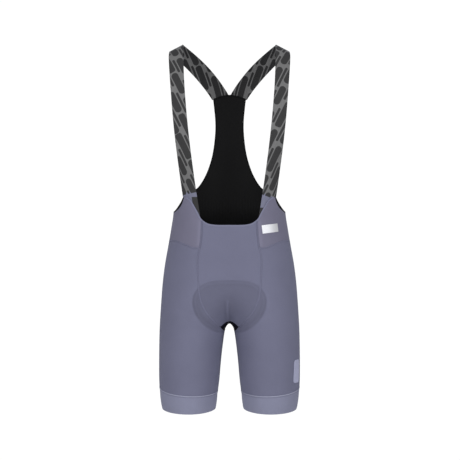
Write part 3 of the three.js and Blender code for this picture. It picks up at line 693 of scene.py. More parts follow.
@dataclass
class Cloth:
    """One piece of cloth as a grid of points, before it gets its wall."""

    name: str
    grid: Array
    normals: Array
    wall: float
    tone: Array | None = None
    ring: bool = False

    def mirrored(self, name: str) -> "Cloth":
        """The same cloth on the other side of the middle."""
        flip = np.array([-1, 1, 1])
        return Cloth(name, self.grid * flip, self.normals * flip, self.wall, self.tone, self.ring)

    def coordinates(self) -> Array:
        """Lengths across and along the cloth, in metres, with one more column on a ring."""
        grid = np.concatenate([self.grid, self.grid[:, :1]], axis=1) if self.ring else self.grid
        across = np.cumsum(np.linalg.norm(np.diff(grid, axis=1), axis=2), axis=1)
        across = np.concatenate([np.zeros((len(grid), 1)), across], axis=1)
        across -= across[:, -1:] / 2
        along = np.cumsum(np.linalg.norm(np.diff(grid, axis=0), axis=2), axis=0)
        along = np.concatenate([np.zeros((1, grid.shape[1])), along], axis=0)
        return np.stack([across, along], axis=-1)

    def build(self, outer: bpy.types.Material, inner: bpy.types.Material | None = None) -> bpy.types.Object:
        """Makes the piece: an outer face, an inner one below it by the wall, and rims.

        Args:
            outer: material of the outer face and the rims.
            inner: material of the inner face, if it is another.

        Returns:
            The new object.
        """
        rows, columns = self.grid.shape[:2]
        count = rows * columns
        verts = np.concatenate(
            [self.grid.reshape(-1, 3), (self.grid - self.wall * self.normals).reshape(-1, 3)]
        )
        across = columns if self.ring else columns - 1
        j, i = (a.ravel() for a in np.meshgrid(np.arange(rows - 1), np.arange(across), indexing="ij"))
        k = (i + 1) % columns
        quads = np.stack([j * columns + i, j * columns + k, (j + 1) * columns + k, (j + 1) * columns + i], 1)
        corners = np.stack(
            [np.stack([j, i], 1), np.stack([j, i + 1], 1), np.stack([j + 1, i + 1], 1), np.stack([j + 1, i], 1)], 1
        )
        faces, spots = [quads, quads[:, ::-1] + count], [corners, corners[:, ::-1]]
        edge = np.arange(across)
        for row, turned in ((0, False), (rows - 1, True)):
            a, b = row * columns + edge, row * columns + (edge + 1) % columns
            quad = np.stack([a + count, b + count, b, a], 1)
            spot = np.stack([np.stack([np.full(across, row), edge + e], 1) for e in (0, 1, 1, 0)], 1)
            faces.append(quad[:, ::-1] if turned else quad)
            spots.append(spot[:, ::-1] if turned else spot)
        if not self.ring:
            edge = np.arange(rows - 1)
            for column, turned in ((0, True), (columns - 1, False)):
                a, b = edge * columns + column, (edge + 1) * columns + column
                quad = np.stack([a + count, b + count, b, a], 1)
                spot = np.stack([np.stack([edge + e, np.full(rows - 1, column)], 1) for e in (0, 1, 1, 0)], 1)
                faces.append(quad[:, ::-1] if turned else quad)
                spots.append(spot[:, ::-1] if turned else spot)
        faces, spots = np.concatenate(faces), np.concatenate(spots)
        first = verts[faces[len(quads) // 2]]
        facing = np.cross(first[1] - first[0], first[2] - first[0]) @ self.normals.reshape(-1, 3)[faces[len(quads) // 2][0]]
        if facing < 0:
            faces, spots = faces[:, ::-1], spots[:, ::-1]
        mesh = bpy.data.meshes.new(self.name)
        mesh.from_pydata(verts.tolist(), [], faces.tolist())
        mesh.materials.append(outer)
        if inner:
            mesh.materials.append(inner)
            index = np.zeros(len(faces), np.int32)
            index[len(quads) : 2 * len(quads)] = 1
            mesh.polygons.foreach_set("material_index", index)
        layer = mesh.uv_layers.new(name="cloth")
        uv = self.coordinates()[spots[..., 0], spots[..., 1]]
        layer.data.foreach_set("uv", uv.astype(np.float32).ravel())
        tone = np.ones((rows, columns)) if self.tone is None else self.tone
        attribute = mesh.attributes.new("tone", "FLOAT", "POINT")
        attribute.data.foreach_set("value", np.tile(tone.ravel(), 2).astype(np.float32))
        mesh.update()
        piece = bpy.data.objects.new(self.name, mesh)
        bpy.context.scene.collection.objects.link(piece)
        smooth(piece)
        return piece


def smooth(piece: bpy.types.Object, angle: float = 40) -> None:
    """Shades a piece smooth but for edges sharper than an angle in degrees."""
    bpy.ops.object.select_all(action="DESELECT")
    piece.select_set(True)
    bpy.context.view_layer.objects.active = piece
    bpy.ops.object.shade_smooth_by_angle(angle=math.radians(angle))
    piece.select_set(False)


def sweep(
    name: str,
    centre: Array,
    up: Array,
    section: Array,
    material: bpy.types.Material,
    closed: bool = False,
    smooth_angle: float = 60,
) -> bpy.types.Object:
    """Draws a section along a path.

    Args:
        name: the new piece's name.
        centre: points of the path.
        up: unit vectors that the section's second axis follows.
        section: points of the section, across and up, counted round it.
        material: the piece's finish.
        closed: whether the path ends where it starts.
        smooth_angle: edges sharper than this in degrees stay sharp.

    Returns:
        The new object.
    """
    if closed:
        tangent = np.roll(centre, -1, axis=0) - np.roll(centre, 1, axis=0)
    else:
        tangent = np.gradient(centre, axis=0)
    tangent = unit(tangent)
    across = unit(np.cross(tangent, up))
    raised = np.cross(across, tangent)
    rings = centre[:, None] + across[:, None] * section[None, :, :1] + raised[:, None] * section[None, :, 1:]
    count, sides = rings.shape[:2]
    span = count if closed else count - 1
    j, i = (a.ravel() for a in np.meshgrid(np.arange(span), np.arange(sides), indexing="ij"))
    nj, ni = (j + 1) % count, (i + 1) % sides
    faces = np.stack([j * sides + i, nj * sides + i, nj * sides + ni, j * sides + ni], 1).tolist()
    if not closed:
        faces.append(list(range(sides)))
        faces.append([(count - 1) * sides + k for k in reversed(range(sides))])
    mesh = bpy.data.meshes.new(name)
    mesh.from_pydata(rings.reshape(-1, 3).tolist(), [], faces)
    mesh.materials.append(material)
    length = np.concatenate([[0], np.cumsum(np.linalg.norm(np.diff(rings.mean(axis=1), axis=0), axis=1))])
    layer = mesh.uv_layers.new(name="cloth")
    turn = np.concatenate([[0], np.cumsum(np.linalg.norm(np.diff(section, axis=0), axis=1))])
    spots = []
    for face in faces:
        spots.extend((turn[k % sides], length[k // sides]) for k in face)
    layer.data.foreach_set("uv", np.array(spots, np.float32).ravel())
    tone = mesh.attributes.new("tone", "FLOAT", "POINT")
    tone.data.foreach_set("value", np.ones(len(mesh.vertices), np.float32))
    mesh.update()
    volume_points = np.array([rings[0, 0], rings[0, 1], rings[1, 1]])
    facing = np.cross(volume_points[1] - volume_points[0], volume_points[2] - volume_points[0])
    if facing @ (rings[0, 0] - rings[0].mean(axis=0)) < 0:
        mesh.flip_normals()
    piece = bpy.data.objects.new(name, mesh)
    bpy.context.scene.collection.objects.link(piece)
    smooth(piece, smooth_angle)
    return piece


def even(points: Array, step: float, closed: bool = False) -> Array:
    """Points of a path at even steps.

    Args:
        points: the path.
        step: the distance wanted.
        closed: whether it ends where it starts.

    Returns:
        The new points, without the last one on a closed path.
    """
    path = np.concatenate([points, points[:1]]) if closed else points
    length = np.concatenate([[0], np.cumsum(np.linalg.norm(np.diff(path, axis=0), axis=1))])
    count = max(int(round(length[-1] / step)), 2)
    at = np.linspace(0, length[-1], count + 1)
    new = np.stack([np.interp(at, length, path[:, c]) for c in range(3)], axis=-1)
    return new[:-1] if closed else new


class NodePad:
    """Lays out shader nodes."""

    def __init__(self, tree: bpy.types.NodeTree) -> None:
        """Args: tree: the node tree to lay nodes in."""
        self.tree = tree

    def node(self, kind: str, inputs: dict[str | int, Value] | None = None, **settings: object) -> bpy.types.Node:
        """A new node, with values or links for its inputs.

        Args:
            kind: the node's type.
            inputs: a number, colour or socket for each named input.
            settings: the node's own properties.

        Returns:
            The new node.
        """
        node = self.tree.nodes.new(kind)
        for key, value in settings.items():
            setattr(node, key, value)
        for key, value in (inputs or {}).items():
            self.feed(node.inputs[key], value)
        return node

    def feed(self, socket: bpy.types.NodeSocket, value: Value) -> None:
        """Links a socket, or sets its value."""
        if isinstance(value, bpy.types.NodeSocket):
            self.tree.links.new(value, socket)
        else:
            socket.default_value = value

    def math(self, operation: str, *values: Value, clamp: bool = False) -> bpy.types.NodeSocket:
        """The result of a Math node."""
        node = self.node("ShaderNodeMath", operation=operation, use_clamp=clamp)
        for socket, value in zip(node.inputs, values):
            self.feed(socket, value)
        return node.outputs[0]

    def between(self, low: float, high: float, value: Value) -> bpy.types.NodeSocket:
        """Smooth step of a value from 0 at low to 1 at high."""
        inputs = {"Value": value, "From Min": low, "From Max": high}
        return self.node("ShaderNodeMapRange", inputs, interpolation_type="SMOOTHSTEP").outputs["Result"]

    def blend(self, factor: Value, a: Value, b: Value, how: str = "MIX") -> bpy.types.NodeSocket:
        """Two colours blended."""
        node = self.node("ShaderNodeMix", data_type="RGBA", blend_type=how)
        colours = [socket for socket in node.inputs if socket.type == "RGBA"]
        self.feed(node.inputs[0], factor)
        self.feed(colours[0], a)
        self.feed(colours[1], b)
        return next(socket for socket in node.outputs if socket.type == "RGBA")


class EffectGroup:
    """A shader effect that several finishes use, built once."""

    name = ""
    inputs: tuple[tuple[str, str, float], ...] = ()
    outputs: tuple[tuple[str, str], ...] = ()

    def lay(self, pad: NodePad, given: dict[str, bpy.types.NodeSocket]) -> dict[str, bpy.types.NodeSocket]:
        """Lays the effect's nodes and returns what feeds each output."""
        raise NotImplementedError

    def tree(self) -> bpy.types.NodeTree:
        """The group's node tree, made when it is first asked for."""
        found = bpy.data.node_groups.get(self.name)
        if found:
            return found
        tree = bpy.data.node_groups.new(self.name, "ShaderNodeTree")
        for name, kind, default in self.inputs:
            socket = tree.interface.new_socket(name, in_out="INPUT", socket_type=kind)
            if kind == "NodeSocketFloat":
                socket.default_value = default
        for name, kind in self.outputs:
            tree.interface.new_socket(name, in_out="OUTPUT", socket_type=kind)
        start, end = tree.nodes.new("NodeGroupInput"), tree.nodes.new("NodeGroupOutput")
        given = {name: start.outputs[name] for name, _, _ in self.inputs}
        for name, socket in self.lay(NodePad(tree), given).items():
            tree.links.new(socket, end.inputs[name])
        return tree

    def place(self, pad: NodePad, **inputs: Value) -> bpy.types.Node:
        """The group in a material, with its own values."""
        node = pad.node("ShaderNodeGroup", node_tree=self.tree())
        for name, value in inputs.items():
            pad.feed(node.inputs[name], value)
        return node


class KnitLoops(EffectGroup):
    """Columns of small V-shaped loops, as on jersey."""

    name = "knit loops"
    inputs = (("Across", "NodeSocketFloat", 0), ("Along", "NodeSocketFloat", 0), ("Loop", "NodeSocketFloat", 0.001))
    outputs = (("Height", "NodeSocketFloat"),)

    def lay(self, pad: NodePad, given: dict[str, bpy.types.NodeSocket]) -> dict[str, bpy.types.NodeSocket]:
        """Lays the loops from their place across and along the cloth."""
        column = pad.math("DIVIDE", given["Across"], given["Loop"])
        share = pad.math("FRACT", column)
        lean = pad.math("ABSOLUTE", pad.math("SUBTRACT", share, 0.5))
        row = pad.math("DIVIDE", pad.math("DIVIDE", given["Along"], given["Loop"]), 0.75)
        wave = pad.math("COSINE", pad.math("MULTIPLY", pad.math("ADD", row, pad.math("MULTIPLY", lean, 1.1)), TAU))
        wale = pad.math("SINE", pad.math("MULTIPLY", share, math.pi))
        loops = pad.math("MULTIPLY", pad.math("ADD", pad.math("MULTIPLY", wave, 0.35), 0.65), wale)
        return {"Height": loops}


class Mottle(EffectGroup):
    """Soft unevenness of a dye, in large patches and in fine grain."""

    name = "dye mottle"
    inputs = (("Patches", "NodeSocketFloat", 14), ("Grain", "NodeSocketFloat", 420))
    outputs = (("Tone", "NodeSocketFloat"),)

    def lay(self, pad: NodePad, given: dict[str, bpy.types.NodeSocket]) -> dict[str, bpy.types.NodeSocket]:
        """Lays two noises in the object's own coordinates."""
        place = pad.node("ShaderNodeTexCoord").outputs["Object"]
        soft = pad.node("ShaderNodeTexNoise", {"Vector": place, "Scale": given["Patches"], "Detail": 3.0})
        fine = pad.node("ShaderNodeTexNoise", {"Vector": place, "Scale": given["Grain"], "Detail": 2.0})
        both = pad.math("ADD", pad.math("MULTIPLY", soft.outputs[0], 0.65), pad.math("MULTIPLY", fine.outputs[0], 0.35))
        return {"Tone": both}


KNIT_LOOPS = KnitLoops()
MOTTLE = Mottle()


@dataclass(frozen=True)
class Finish:
    """One cloth or print: its colour, gloss and surface, and the name of its material slot."""

    name: str
    slot: str
    colour: tuple[float, float, float]
    roughness: float = 0.75
    sheen: float = 0.08
    sheen_tint: tuple[float, float, float] = (0.62, 0.64, 0.9)
    specular: float = 0.2
    loop: float = 0.9
    bump: float = 0.25
    variation: float = 0.12

    def cloth_place(self, pad: NodePad) -> tuple[bpy.types.NodeSocket, bpy.types.NodeSocket]:
        """Lengths across and along the cloth."""
        uv = pad.node("ShaderNodeUVMap", uv_map="cloth")
        parts = pad.node("ShaderNodeSeparateXYZ", {0: uv.outputs[0]})
        return parts.outputs[0], parts.outputs[1]

    def tint(self, share: float) -> tuple[float, float, float, float]:
        """The colour made lighter or darker by a share."""
        return (*(c * share for c in self.colour), 1.0)

    def colour_nodes(self, pad: NodePad, across: Value, along: Value, tone: Value) -> bpy.types.NodeSocket:
        """The colour before the cloth's tone: two tints mixed by the mottle."""
        return pad.blend(tone, self.tint(1 - self.variation), self.tint(1 + self.variation))

    def height_nodes(self, pad: NodePad, across: Value, along: Value, tone: Value) -> bpy.types.NodeSocket:
        """Height of the surface's grain."""
        return KNIT_LOOPS.place(pad, Across=across, Along=along, Loop=self.loop * MM).outputs["Height"]

    def roughness_nodes(self, pad: NodePad, tone: Value) -> bpy.types.NodeSocket:
        """Roughness, a little lower where the cloth is lighter."""
        inputs = {"Value": tone, "To Min": self.roughness + 0.06, "To Max": self.roughness - 0.06}
        return pad.node("ShaderNodeMapRange", inputs).outputs["Result"]

    def material(self) -> bpy.types.Material:
        """The finish as a material, made when it is first asked for."""
        found = bpy.data.materials.get(self.name)
        if found:
            return found
        material = bpy.data.materials.new(self.name)
        material.use_nodes = True
        pad = NodePad(material.node_tree)
        shader = material.node_tree.nodes["Principled BSDF"]
        across, along = self.cloth_place(pad)
        tone = MOTTLE.place(pad).outputs["Tone"]
        # The tone attribute is multiplied into the colour. It carries painted highlights and painted shade along
        # ridges, troughs, ribs and the satin tab, and painted light round the crotch.
        drawn = pad.node("ShaderNodeAttribute", attribute_name="tone").outputs["Fac"]
        colour = pad.blend(1.0, self.colour_nodes(pad, across, along, tone), drawn, "MULTIPLY")
        pad.feed(shader.inputs["Base Color"], colour)
        pad.feed(shader.inputs["Roughness"], self.roughness_nodes(pad, tone))
        height = self.height_nodes(pad, across, along, tone)
        bump = pad.node("ShaderNodeBump", {"Strength": self.bump, "Distance": 0.3 * MM, "Height": height})
        pad.feed(shader.inputs["Normal"], bump.outputs["Normal"])
        shader.inputs["Sheen Weight"].default_value = self.sheen
        shader.inputs["Sheen Roughness"].default_value = 0.45
        shader.inputs["Sheen Tint"].default_value = (*self.sheen_tint, 1.0)
        shader.inputs["Specular IOR Level"].default_value = self.specular
        return material


@dataclass(frozen=True)
class FineMesh(Finish):
    """Knit with small open dots, and ribs where the cloth is drawn in."""

    dot: float = 1.7

    def height_nodes(self, pad: NodePad, across: Value, along: Value, tone: Value) -> bpy.types.NodeSocket:
        """Small round pits in staggered rows."""
        row = pad.math("DIVIDE", along, self.dot * MM)
        shift = pad.math("MULTIPLY", pad.math("MODULO", pad.math("FLOOR", row), 2.0), 0.5)
        column = pad.math("ADD", pad.math("DIVIDE", across, self.dot * MM), shift)
        dx = pad.math("SUBTRACT", pad.math("FRACT", column), 0.5)
        dy = pad.math("SUBTRACT", pad.math("FRACT", row), 0.5)
        far = pad.math("SQRT", pad.math("ADD", pad.math("MULTIPLY", dx, dx), pad.math("MULTIPLY", dy, dy)))
        return pad.between(0.12, 0.32, far)


@dataclass(frozen=True)
class Ribbed(Finish):
    """Elastic with fine lines along its length or round it."""

    rib: float = 1.4
    round_it: bool = True

    def height_nodes(self, pad: NodePad, across: Value, along: Value, tone: Value) -> bpy.types.NodeSocket:
        """Fine rounded lines."""
        place = along if self.round_it else across
        wave = pad.math("SINE", pad.math("MULTIPLY", place, TAU / (self.rib * MM)))
        return pad.math("ADD", pad.math("MULTIPLY", wave, 0.5), 0.5)


@dataclass(frozen=True)
class PrintedElastic(Ribbed):
    """Woven elastic with slanted rounded bars, broad and slim by turns, and a plain wedge at its foot."""

    bar_colour: tuple[float, float, float] = (0.040, 0.040, 0.041)
    slant: float = 21
    pitch: float = 28
    length: float = 66
    shift: float = 0
    wedge_colour: tuple[float, float, float] | None = None
    wedge_top: float = 80
    wedge_slope: float = 0.15
    wedge_foot: float = 67
    foot_from: float = -99
    poke: float = 5

    def bars(
        self, pad: NodePad, place: tuple[Value, Value], start: float, half: tuple[float, float], stagger: float
    ) -> bpy.types.NodeSocket:
        """Mask of one set of rounded bars of uneven length.

        Args:
            pad: where the nodes go.
            place: lengths across and along the bars.
            start: the first bar's place, as a share of the pitch.
            half: half of a bar's width and of its straight length, in millimetres.
            stagger: how far each next column of bars is shifted, as a share of a bar's cell.

        Returns:
            1 on a bar and 0 beside it.
        """
        column = pad.math("ADD", pad.math("DIVIDE", place[0], self.pitch * MM), start)
        number = pad.math("FLOOR", column)
        row = pad.math("ADD", pad.math("DIVIDE", place[1], self.length * MM), pad.math("MULTIPLY", number, stagger))
        cell = pad.node("ShaderNodeCombineXYZ", {0: number, 1: pad.math("FLOOR", row), 2: self.shift + start})
        chance = pad.node("ShaderNodeTexWhiteNoise", {"Vector": cell.outputs[0]}).outputs["Value"]
        reach = pad.math("MULTIPLY", pad.math("ADD", pad.math("MULTIPLY", chance, 0.45), 0.55), half[1])
        dx = pad.math("MULTIPLY", pad.math("ABSOLUTE", pad.math("SUBTRACT", pad.math("FRACT", column), 0.5)), self.pitch)
        dy = pad.math("MULTIPLY", pad.math("ABSOLUTE", pad.math("SUBTRACT", pad.math("FRACT", row), 0.5)), self.length)
        dy = pad.math("MAXIMUM", pad.math("SUBTRACT", dy, reach), 0.0)
        far = pad.math("SQRT", pad.math("ADD", pad.math("MULTIPLY", dx, dx), pad.math("MULTIPLY", dy, dy)))
        return pad.between(half[0] + 0.35, half[0] - 0.35, far)

    def colour_nodes(self, pad: NodePad, across: Value, along: Value, tone: Value) -> bpy.types.NodeSocket:
        """Bars over the ground, and the wedge over both."""
        c, s = math.cos(math.radians(self.slant)), math.sin(math.radians(self.slant))
        moved = pad.math("ADD", along, self.shift * MM)
        a = pad.math("ADD", pad.math("MULTIPLY", across, c), pad.math("MULTIPLY", moved, s))
        b = pad.math("SUBTRACT", pad.math("MULTIPLY", moved, c), pad.math("MULTIPLY", across, s))
        broad = self.bars(pad, (a, b), 0.0, (8.3, 27), 0.41)
        slim = self.bars(pad, (a, b), 0.5, (3.0, 26), 0.59)
        dark = pad.math("MAXIMUM", broad, slim)
        ground = pad.blend(tone, self.tint(1 - self.variation), self.tint(1 + self.variation))
        printed = pad.blend(dark, ground, (*self.bar_colour, 1.0))
        if self.wedge_colour is None:
            return printed
        below = pad.math("SUBTRACT", along, pad.math("MULTIPLY", across, self.wedge_slope))
        below = pad.math("ADD", below, pad.math("MULTIPLY", dark, self.poke * MM))
        wedge = pad.between((self.wedge_top + 0.6) * MM, (self.wedge_top - 0.6) * MM, below)
        coloured = pad.blend(wedge, printed, (*self.wedge_colour, 1.0))
        foot = pad.between((self.wedge_foot + 0.6) * MM, (self.wedge_foot - 0.6) * MM, along)
        inner = pad.between((self.foot_from - 0.6) * MM, (self.foot_from + 0.6) * MM, across)
        return pad.blend(pad.math("MULTIPLY", foot, inner), coloured, (*self.bar_colour, 1.0))


@dataclass(frozen=True)
class Fleece(Finish):
    """Brushed cloth over foam."""

    def height_nodes(self, pad: NodePad, across: Value, along: Value, tone: Value) -> bpy.types.NodeSocket:
        """Short irregular nap."""
        place = pad.node("ShaderNodeTexCoord").outputs["Object"]
        return pad.node("ShaderNodeTexNoise", {"Vector": place, "Scale": 900.0, "Detail": 4.0}).outputs[0]


WEDGE = (0.195, 0.2, 0.28)


@dataclass(frozen=True)
class Finishes:
    """All finishes of the garment."""

    knit: Finish = Finish("stretch knit", "stretch_knit", (0.170, 0.174, 0.258))
    wing: Finish = FineMesh("wing knit", "wing_knit", (0.182, 0.177, 0.252), dot=1.2, bump=0.2)
    band: Finish = Ribbed("gripper band", "gripper_band", (0.240, 0.248, 0.350), roughness=0.62)
    mesh: Finish = FineMesh("black mesh", "black_mesh", (0.0045, 0.0045, 0.005), sheen=0.0, specular=0.16, bump=0.5)
    gusset: Finish = Finish("gusset knit", "gusset_knit", (0.004, 0.0035, 0.011), sheen=0.0, specular=0.06)
    pad: Finish = Fleece("pad fleece", "pad_fleece", (0.03, 0.031, 0.04), roughness=0.9, bump=0.5)
    strap: Finish = PrintedElastic(
        "printed elastic", "printed_elastic", (0.175, 0.175, 0.177), wedge_colour=WEDGE, foot_from=7.2, variation=0.05
    )
    strap_left: Finish = replace(
        strap, name="printed elastic left", shift=31, wedge_top=71, wedge_slope=0.3, wedge_foot=41, foot_from=-99
    )
    # The straps' inner face: a darker copy of the printed elastic, as painted shade where the inner face shows behind
    # the shoulders.
    strap_inside: Finish = PrintedElastic(
        "printed elastic inside",
        "printed_elastic",
        (0.125, 0.125, 0.127),
        bar_colour=(0.019, 0.019, 0.02),
        shift=12,
        variation=0.05,
    )
    satin: Finish = Ribbed("satin tab", "satin_tab", (0.93, 0.94, 0.99), roughness=0.34, sheen=0.1, rib=0.7, bump=0.12, variation=0.04)
    print: Finish = Ribbed("pale print", "pale_print", (0.42, 0.433, 0.60), roughness=0.5, rib=3.2, bump=0.3)
    # The seams are darker than the knit as painted shade along the seam lines.
    seam: Finish = Finish("flat seam", "stretch_knit", (0.142, 0.145, 0.216))
    faint_seam: Finish = Finish("fine flat seam", "stretch_knit", (0.160, 0.163, 0.243))
    bright_thread: Finish = Ribbed("bright thread", "gripper_band", (0.36, 0.37, 0.49), roughness=0.55, rib=0.6)
    thread: Finish = Ribbed("lavender thread", "stretch_knit", (0.215, 0.22, 0.318), roughness=0.6, rib=0.5, round_it=False)
    dark_thread: Finish = Ribbed("black thread", "black_mesh", (0.012, 0.012, 0.013), roughness=0.6, rib=0.5)
    binding: Finish = Ribbed("knit binding", "stretch_knit", (0.205, 0.21, 0.305), roughness=0.66, rib=1.1)
    black_binding: Finish = Ribbed("black binding", "black_mesh", (0.006, 0.006, 0.0065), roughness=0.8, rib=1.1, sheen=0.0, specular=0.1)


FINISHES = Finishes()


class Dresser:
    """Puts pieces on the body."""

    body = "root"

    def piece(self, piece: bpy.types.Object, finish: Finish, *nodes: str) -> bpy.types.Object:
        """Rides a piece on the body and the nodes that it replaces.

        Args:
            piece: the new object.
            finish: its finish; not used.
            nodes: the CAD nodes that it stands for.

        Returns:
            The same object.
        """
        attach(piece, self.body)
        if nodes:
            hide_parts(*nodes)
        LOG.info("%s: %d faces", piece.name, len(piece.data.polygons))
        return piece

    def cut(
        self,
        piece: bpy.types.Object,
        flat: tuple[float, float],
        area: float,
        rests_on: Sequence[str],
        held: Hold = Hold.STRETCHED,
        with_pieces: Sequence[bpy.types.Object] = (),
    ) -> None:
        """Takes a sheet and the size that it was cut to, in millimetres and square metres, and does nothing with them.
        """


@dataclass
class Shorts(Dresser):
    """Centre front, legs, seat, gripper bands and crotch gusset."""

    form: BodyForm
    lines: SeamLines
    relief: Relief
    wall: float = 1.4 * MM
    columns: int = 56
    refine: int = 5
    gap: float = 0.15 * MM

    def shares(self) -> Array:
        """Places across a panel, closer together near the inseam."""
        return np.linspace(0, 1, self.columns + 1) ** 1.35

    def cloth(self, name: str, grid: Array, side: Side, ring: bool = False) -> Cloth:
        """A panel on the body, with the relief raised out of it."""
        normals = self.form.outward(grid)
        height, tone = self.relief.at(grid, side)
        return Cloth(name, grid + normals * height[..., None], normals, self.wall, tone, ring)

    def warp(self, places: Places, row: int, target: Places, reach: int) -> Places:
        """Bends the rows near an end of a grid to follow a seam.

        Args:
            places: the grid.
            row: its first or last row.
            target: where that row has to lie.
            reach: how many rows bend with it.

        Returns:
            The bent grid.
        """
        rows = np.abs(np.arange(len(places.z)) - (row % len(places.z)))
        share = (1 - ease(0, reach, rows.astype(float)))[:, None]
        moved_z = places.z + share * (target.z - places.z[row])[None, :]
        moved_side = places.from_side + share * (target.from_side - places.from_side[row])[None, :]
        return Places(places.side, moved_side, moved_z)

    def leg(self) -> Cloth:
        """The front and outside of a thigh."""
        side, n = Side.FRONT, self.refine
        shares = self.shares()
        gusset = self.lines.gusset_edge(side, np.linspace(0, 1, 2 * n + 1))
        inner = Places.chain(
            self.lines.inseam(np.linspace(0, 1, 7 * n + 1)[:-1], side),
            self.form.places(gusset[:-1, 0], gusset[:-1, 2], side),
            self.lines.front_seam(
                mix(self.lines.corner[2], self.lines.wing_corner_z, np.linspace(0, 1, 14 * n + 1) ** 1.15)
            ),
        )
        outer = self.lines.side_seam(
            self.lines.band_side_z, self.lines.waist_z, np.linspace(0, 1, len(inner.z)), side
        )
        places = inner.upto(outer, shares)
        places = self.warp(places, 0, self.lines.band_top(shares, side), 6 * n)
        places = self.warp(places, -1, self.lines.wing_seam(shares), 4 * n)
        return self.cloth("leg_cloth_left", self.form.points(places), side)

    def seat(self) -> Cloth:
        """Half of the seat and the back of a thigh."""
        side, n = Side.BACK, self.refine
        shares = self.shares()
        gusset = self.lines.gusset_edge(side, np.linspace(0, 2, 7 * n + 1)[:-1])
        tip = self.form.middle_points(np.array([GUSSET_ROWS[2][0] * MM]))[0, 2]
        inner = Places.chain(
            self.lines.inseam(np.linspace(0, 1, 7 * n + 1)[:-1], side),
            self.form.places(gusset[:, 0], gusset[:, 2], side),
            self.form.inner_line(mix(tip, self.lines.waist_z, np.linspace(0, 1, 9 * n + 1) ** 1.3), side),
        )
        outer = self.lines.side_seam(
            self.lines.band_side_z, self.lines.waist_z, np.linspace(0, 1, len(inner.z)), side
        )
        places = inner.upto(outer, shares)
        places = self.warp(places, 0, self.lines.band_top(shares, side), 6 * n)
        return self.cloth("seat_cloth_left", self.form.points(places), side)

    def band(self) -> Cloth:
        """The gripper band round a leg."""
        shares = self.shares()
        rows = np.linspace(0, 1, 4 * self.refine + 1)
        grids = []
        for side, part in ((Side.FRONT, shares), (Side.BACK, shares[-2:0:-1])):
            hem, top = self.lines.hem(part, side), self.lines.band_top(part, side)
            z = mix(hem.z[None], top.z[None], rows[:, None])
            from_side = mix(hem.from_side[None], top.from_side[None], rows[:, None])
            grids.append(self.form.points(Places(side, from_side, z)))
        grid = np.concatenate(grids, axis=1)
        normals = self.form.outward(grid)
        bulge = 0.5 * MM * np.sin(math.pi * rows) ** 0.5
        return Cloth("band_cloth_left", grid + normals * bulge[:, None, None], normals, self.wall, None, True)

    def front(self) -> Cloth:
        """The centre front, from the gusset's point up to the scoop."""
        n, half = self.refine, 34
        side = Side.FRONT
        low_z = mix(self.lines.corner[2], self.lines.wing_corner_z, np.linspace(0, 1, 14 * n + 1) ** 1.15)
        high_z = np.linspace(self.lines.wing_corner_z, self.lines.scoop_corner_z, 4 * n + 1)[1:]
        seam_z = np.concatenate([low_z, high_z])
        seam_x = self.form.points(self.lines.front_seam(seam_z))[:, 0]
        across = np.linspace(0, 1, half + 1)
        foot = self.lines.gusset_edge(side, 2 - across)
        scoop = self.scoop_z(across * seam_x[-1])
        up = ((seam_z - seam_z[0]) / (seam_z[-1] - seam_z[0]))[:, None]
        out = ((seam_x - seam_x[0]) / (seam_x[-1] - seam_x[0]))[:, None]
        x = mix(foot[None, :, 0], across[None] * seam_x[-1], out)
        z = mix(foot[None, :, 2], scoop[None], up)
        x[:, -1], z[:, -1] = seam_x, seam_z
        grid = self.form.surface(x, z, side)
        grid[0] = foot
        grid = np.concatenate([(grid * [-1, 1, 1])[:, :0:-1], grid], axis=1)
        return self.cloth("front_cloth", grid, side)

    def scoop_z(self, x: Array) -> Array:
        """Level of the centre front's scoop."""
        return Profile(FRONT_SCOOP_ROWS)(np.abs(x))

    def gusset(self) -> Cloth:
        """The black piece at the crotch."""
        (_, middle_half), (corner, corner_half), (end, _) = GUSSET_ROWS
        v = np.linspace(-1, 1, 61)
        half = mix(middle_half, corner_half, np.abs(v)) * MM
        columns = [
            self.form.over_middle(v * mix(end, corner, s) * MM, half, np.array([s])) for s in np.linspace(0, 1, 21)
        ]
        grid = np.concatenate(columns, axis=1)
        grid = np.concatenate([(grid * [-1, 1, 1])[:, :0:-1], grid], axis=1)
        normals = self.form.outward(grid)
        heights = [self.relief.at(grid, side)[0] for side in Side]
        height = np.where(grid[..., 1] < self.form.mid_y, *heights)
        return Cloth("gusset_cloth", grid + normals * height[..., None], normals, self.wall)

    def build(self) -> None:
        """Makes every panel."""
        knit, band = FINISHES.knit.material(), FINISHES.band.material()
        front = self.piece(self.front().build(knit), FINISHES.knit, "front_centre")
        self.cut(front, (150, 275), 0.0325, ["leg_left", "leg_right", "crotch_gusset"])
        gusset = self.piece(self.gusset().build(FINISHES.gusset.material()), FINISHES.gusset, "crotch_gusset")
        self.cut(gusset, (62, 87), 0.0039, ["seat_pad"])
        for make, node, finish, flat, area in (
            (self.leg, "leg", knit, (190, 362), 0.0640),
            (self.seat, "seat", knit, (215, 395), 0.0755),
            (self.band, "band", band, (405, 50), 0.0200),
        ):
            left = make()
            for hand in Hand:
                name = f"{node}_cloth_{hand.word}"
                cloth = left if hand is Hand.LEFT else left.mirrored(name)
                row = FINISHES.band if node == "band" else FINISHES.knit
                piece = self.piece(cloth.build(finish), row, f"{node}_{hand.word}")
                self.cut(piece, flat, area, [f"leg_{hand.word}" if node != "leg" else f"seat_{hand.word}"])


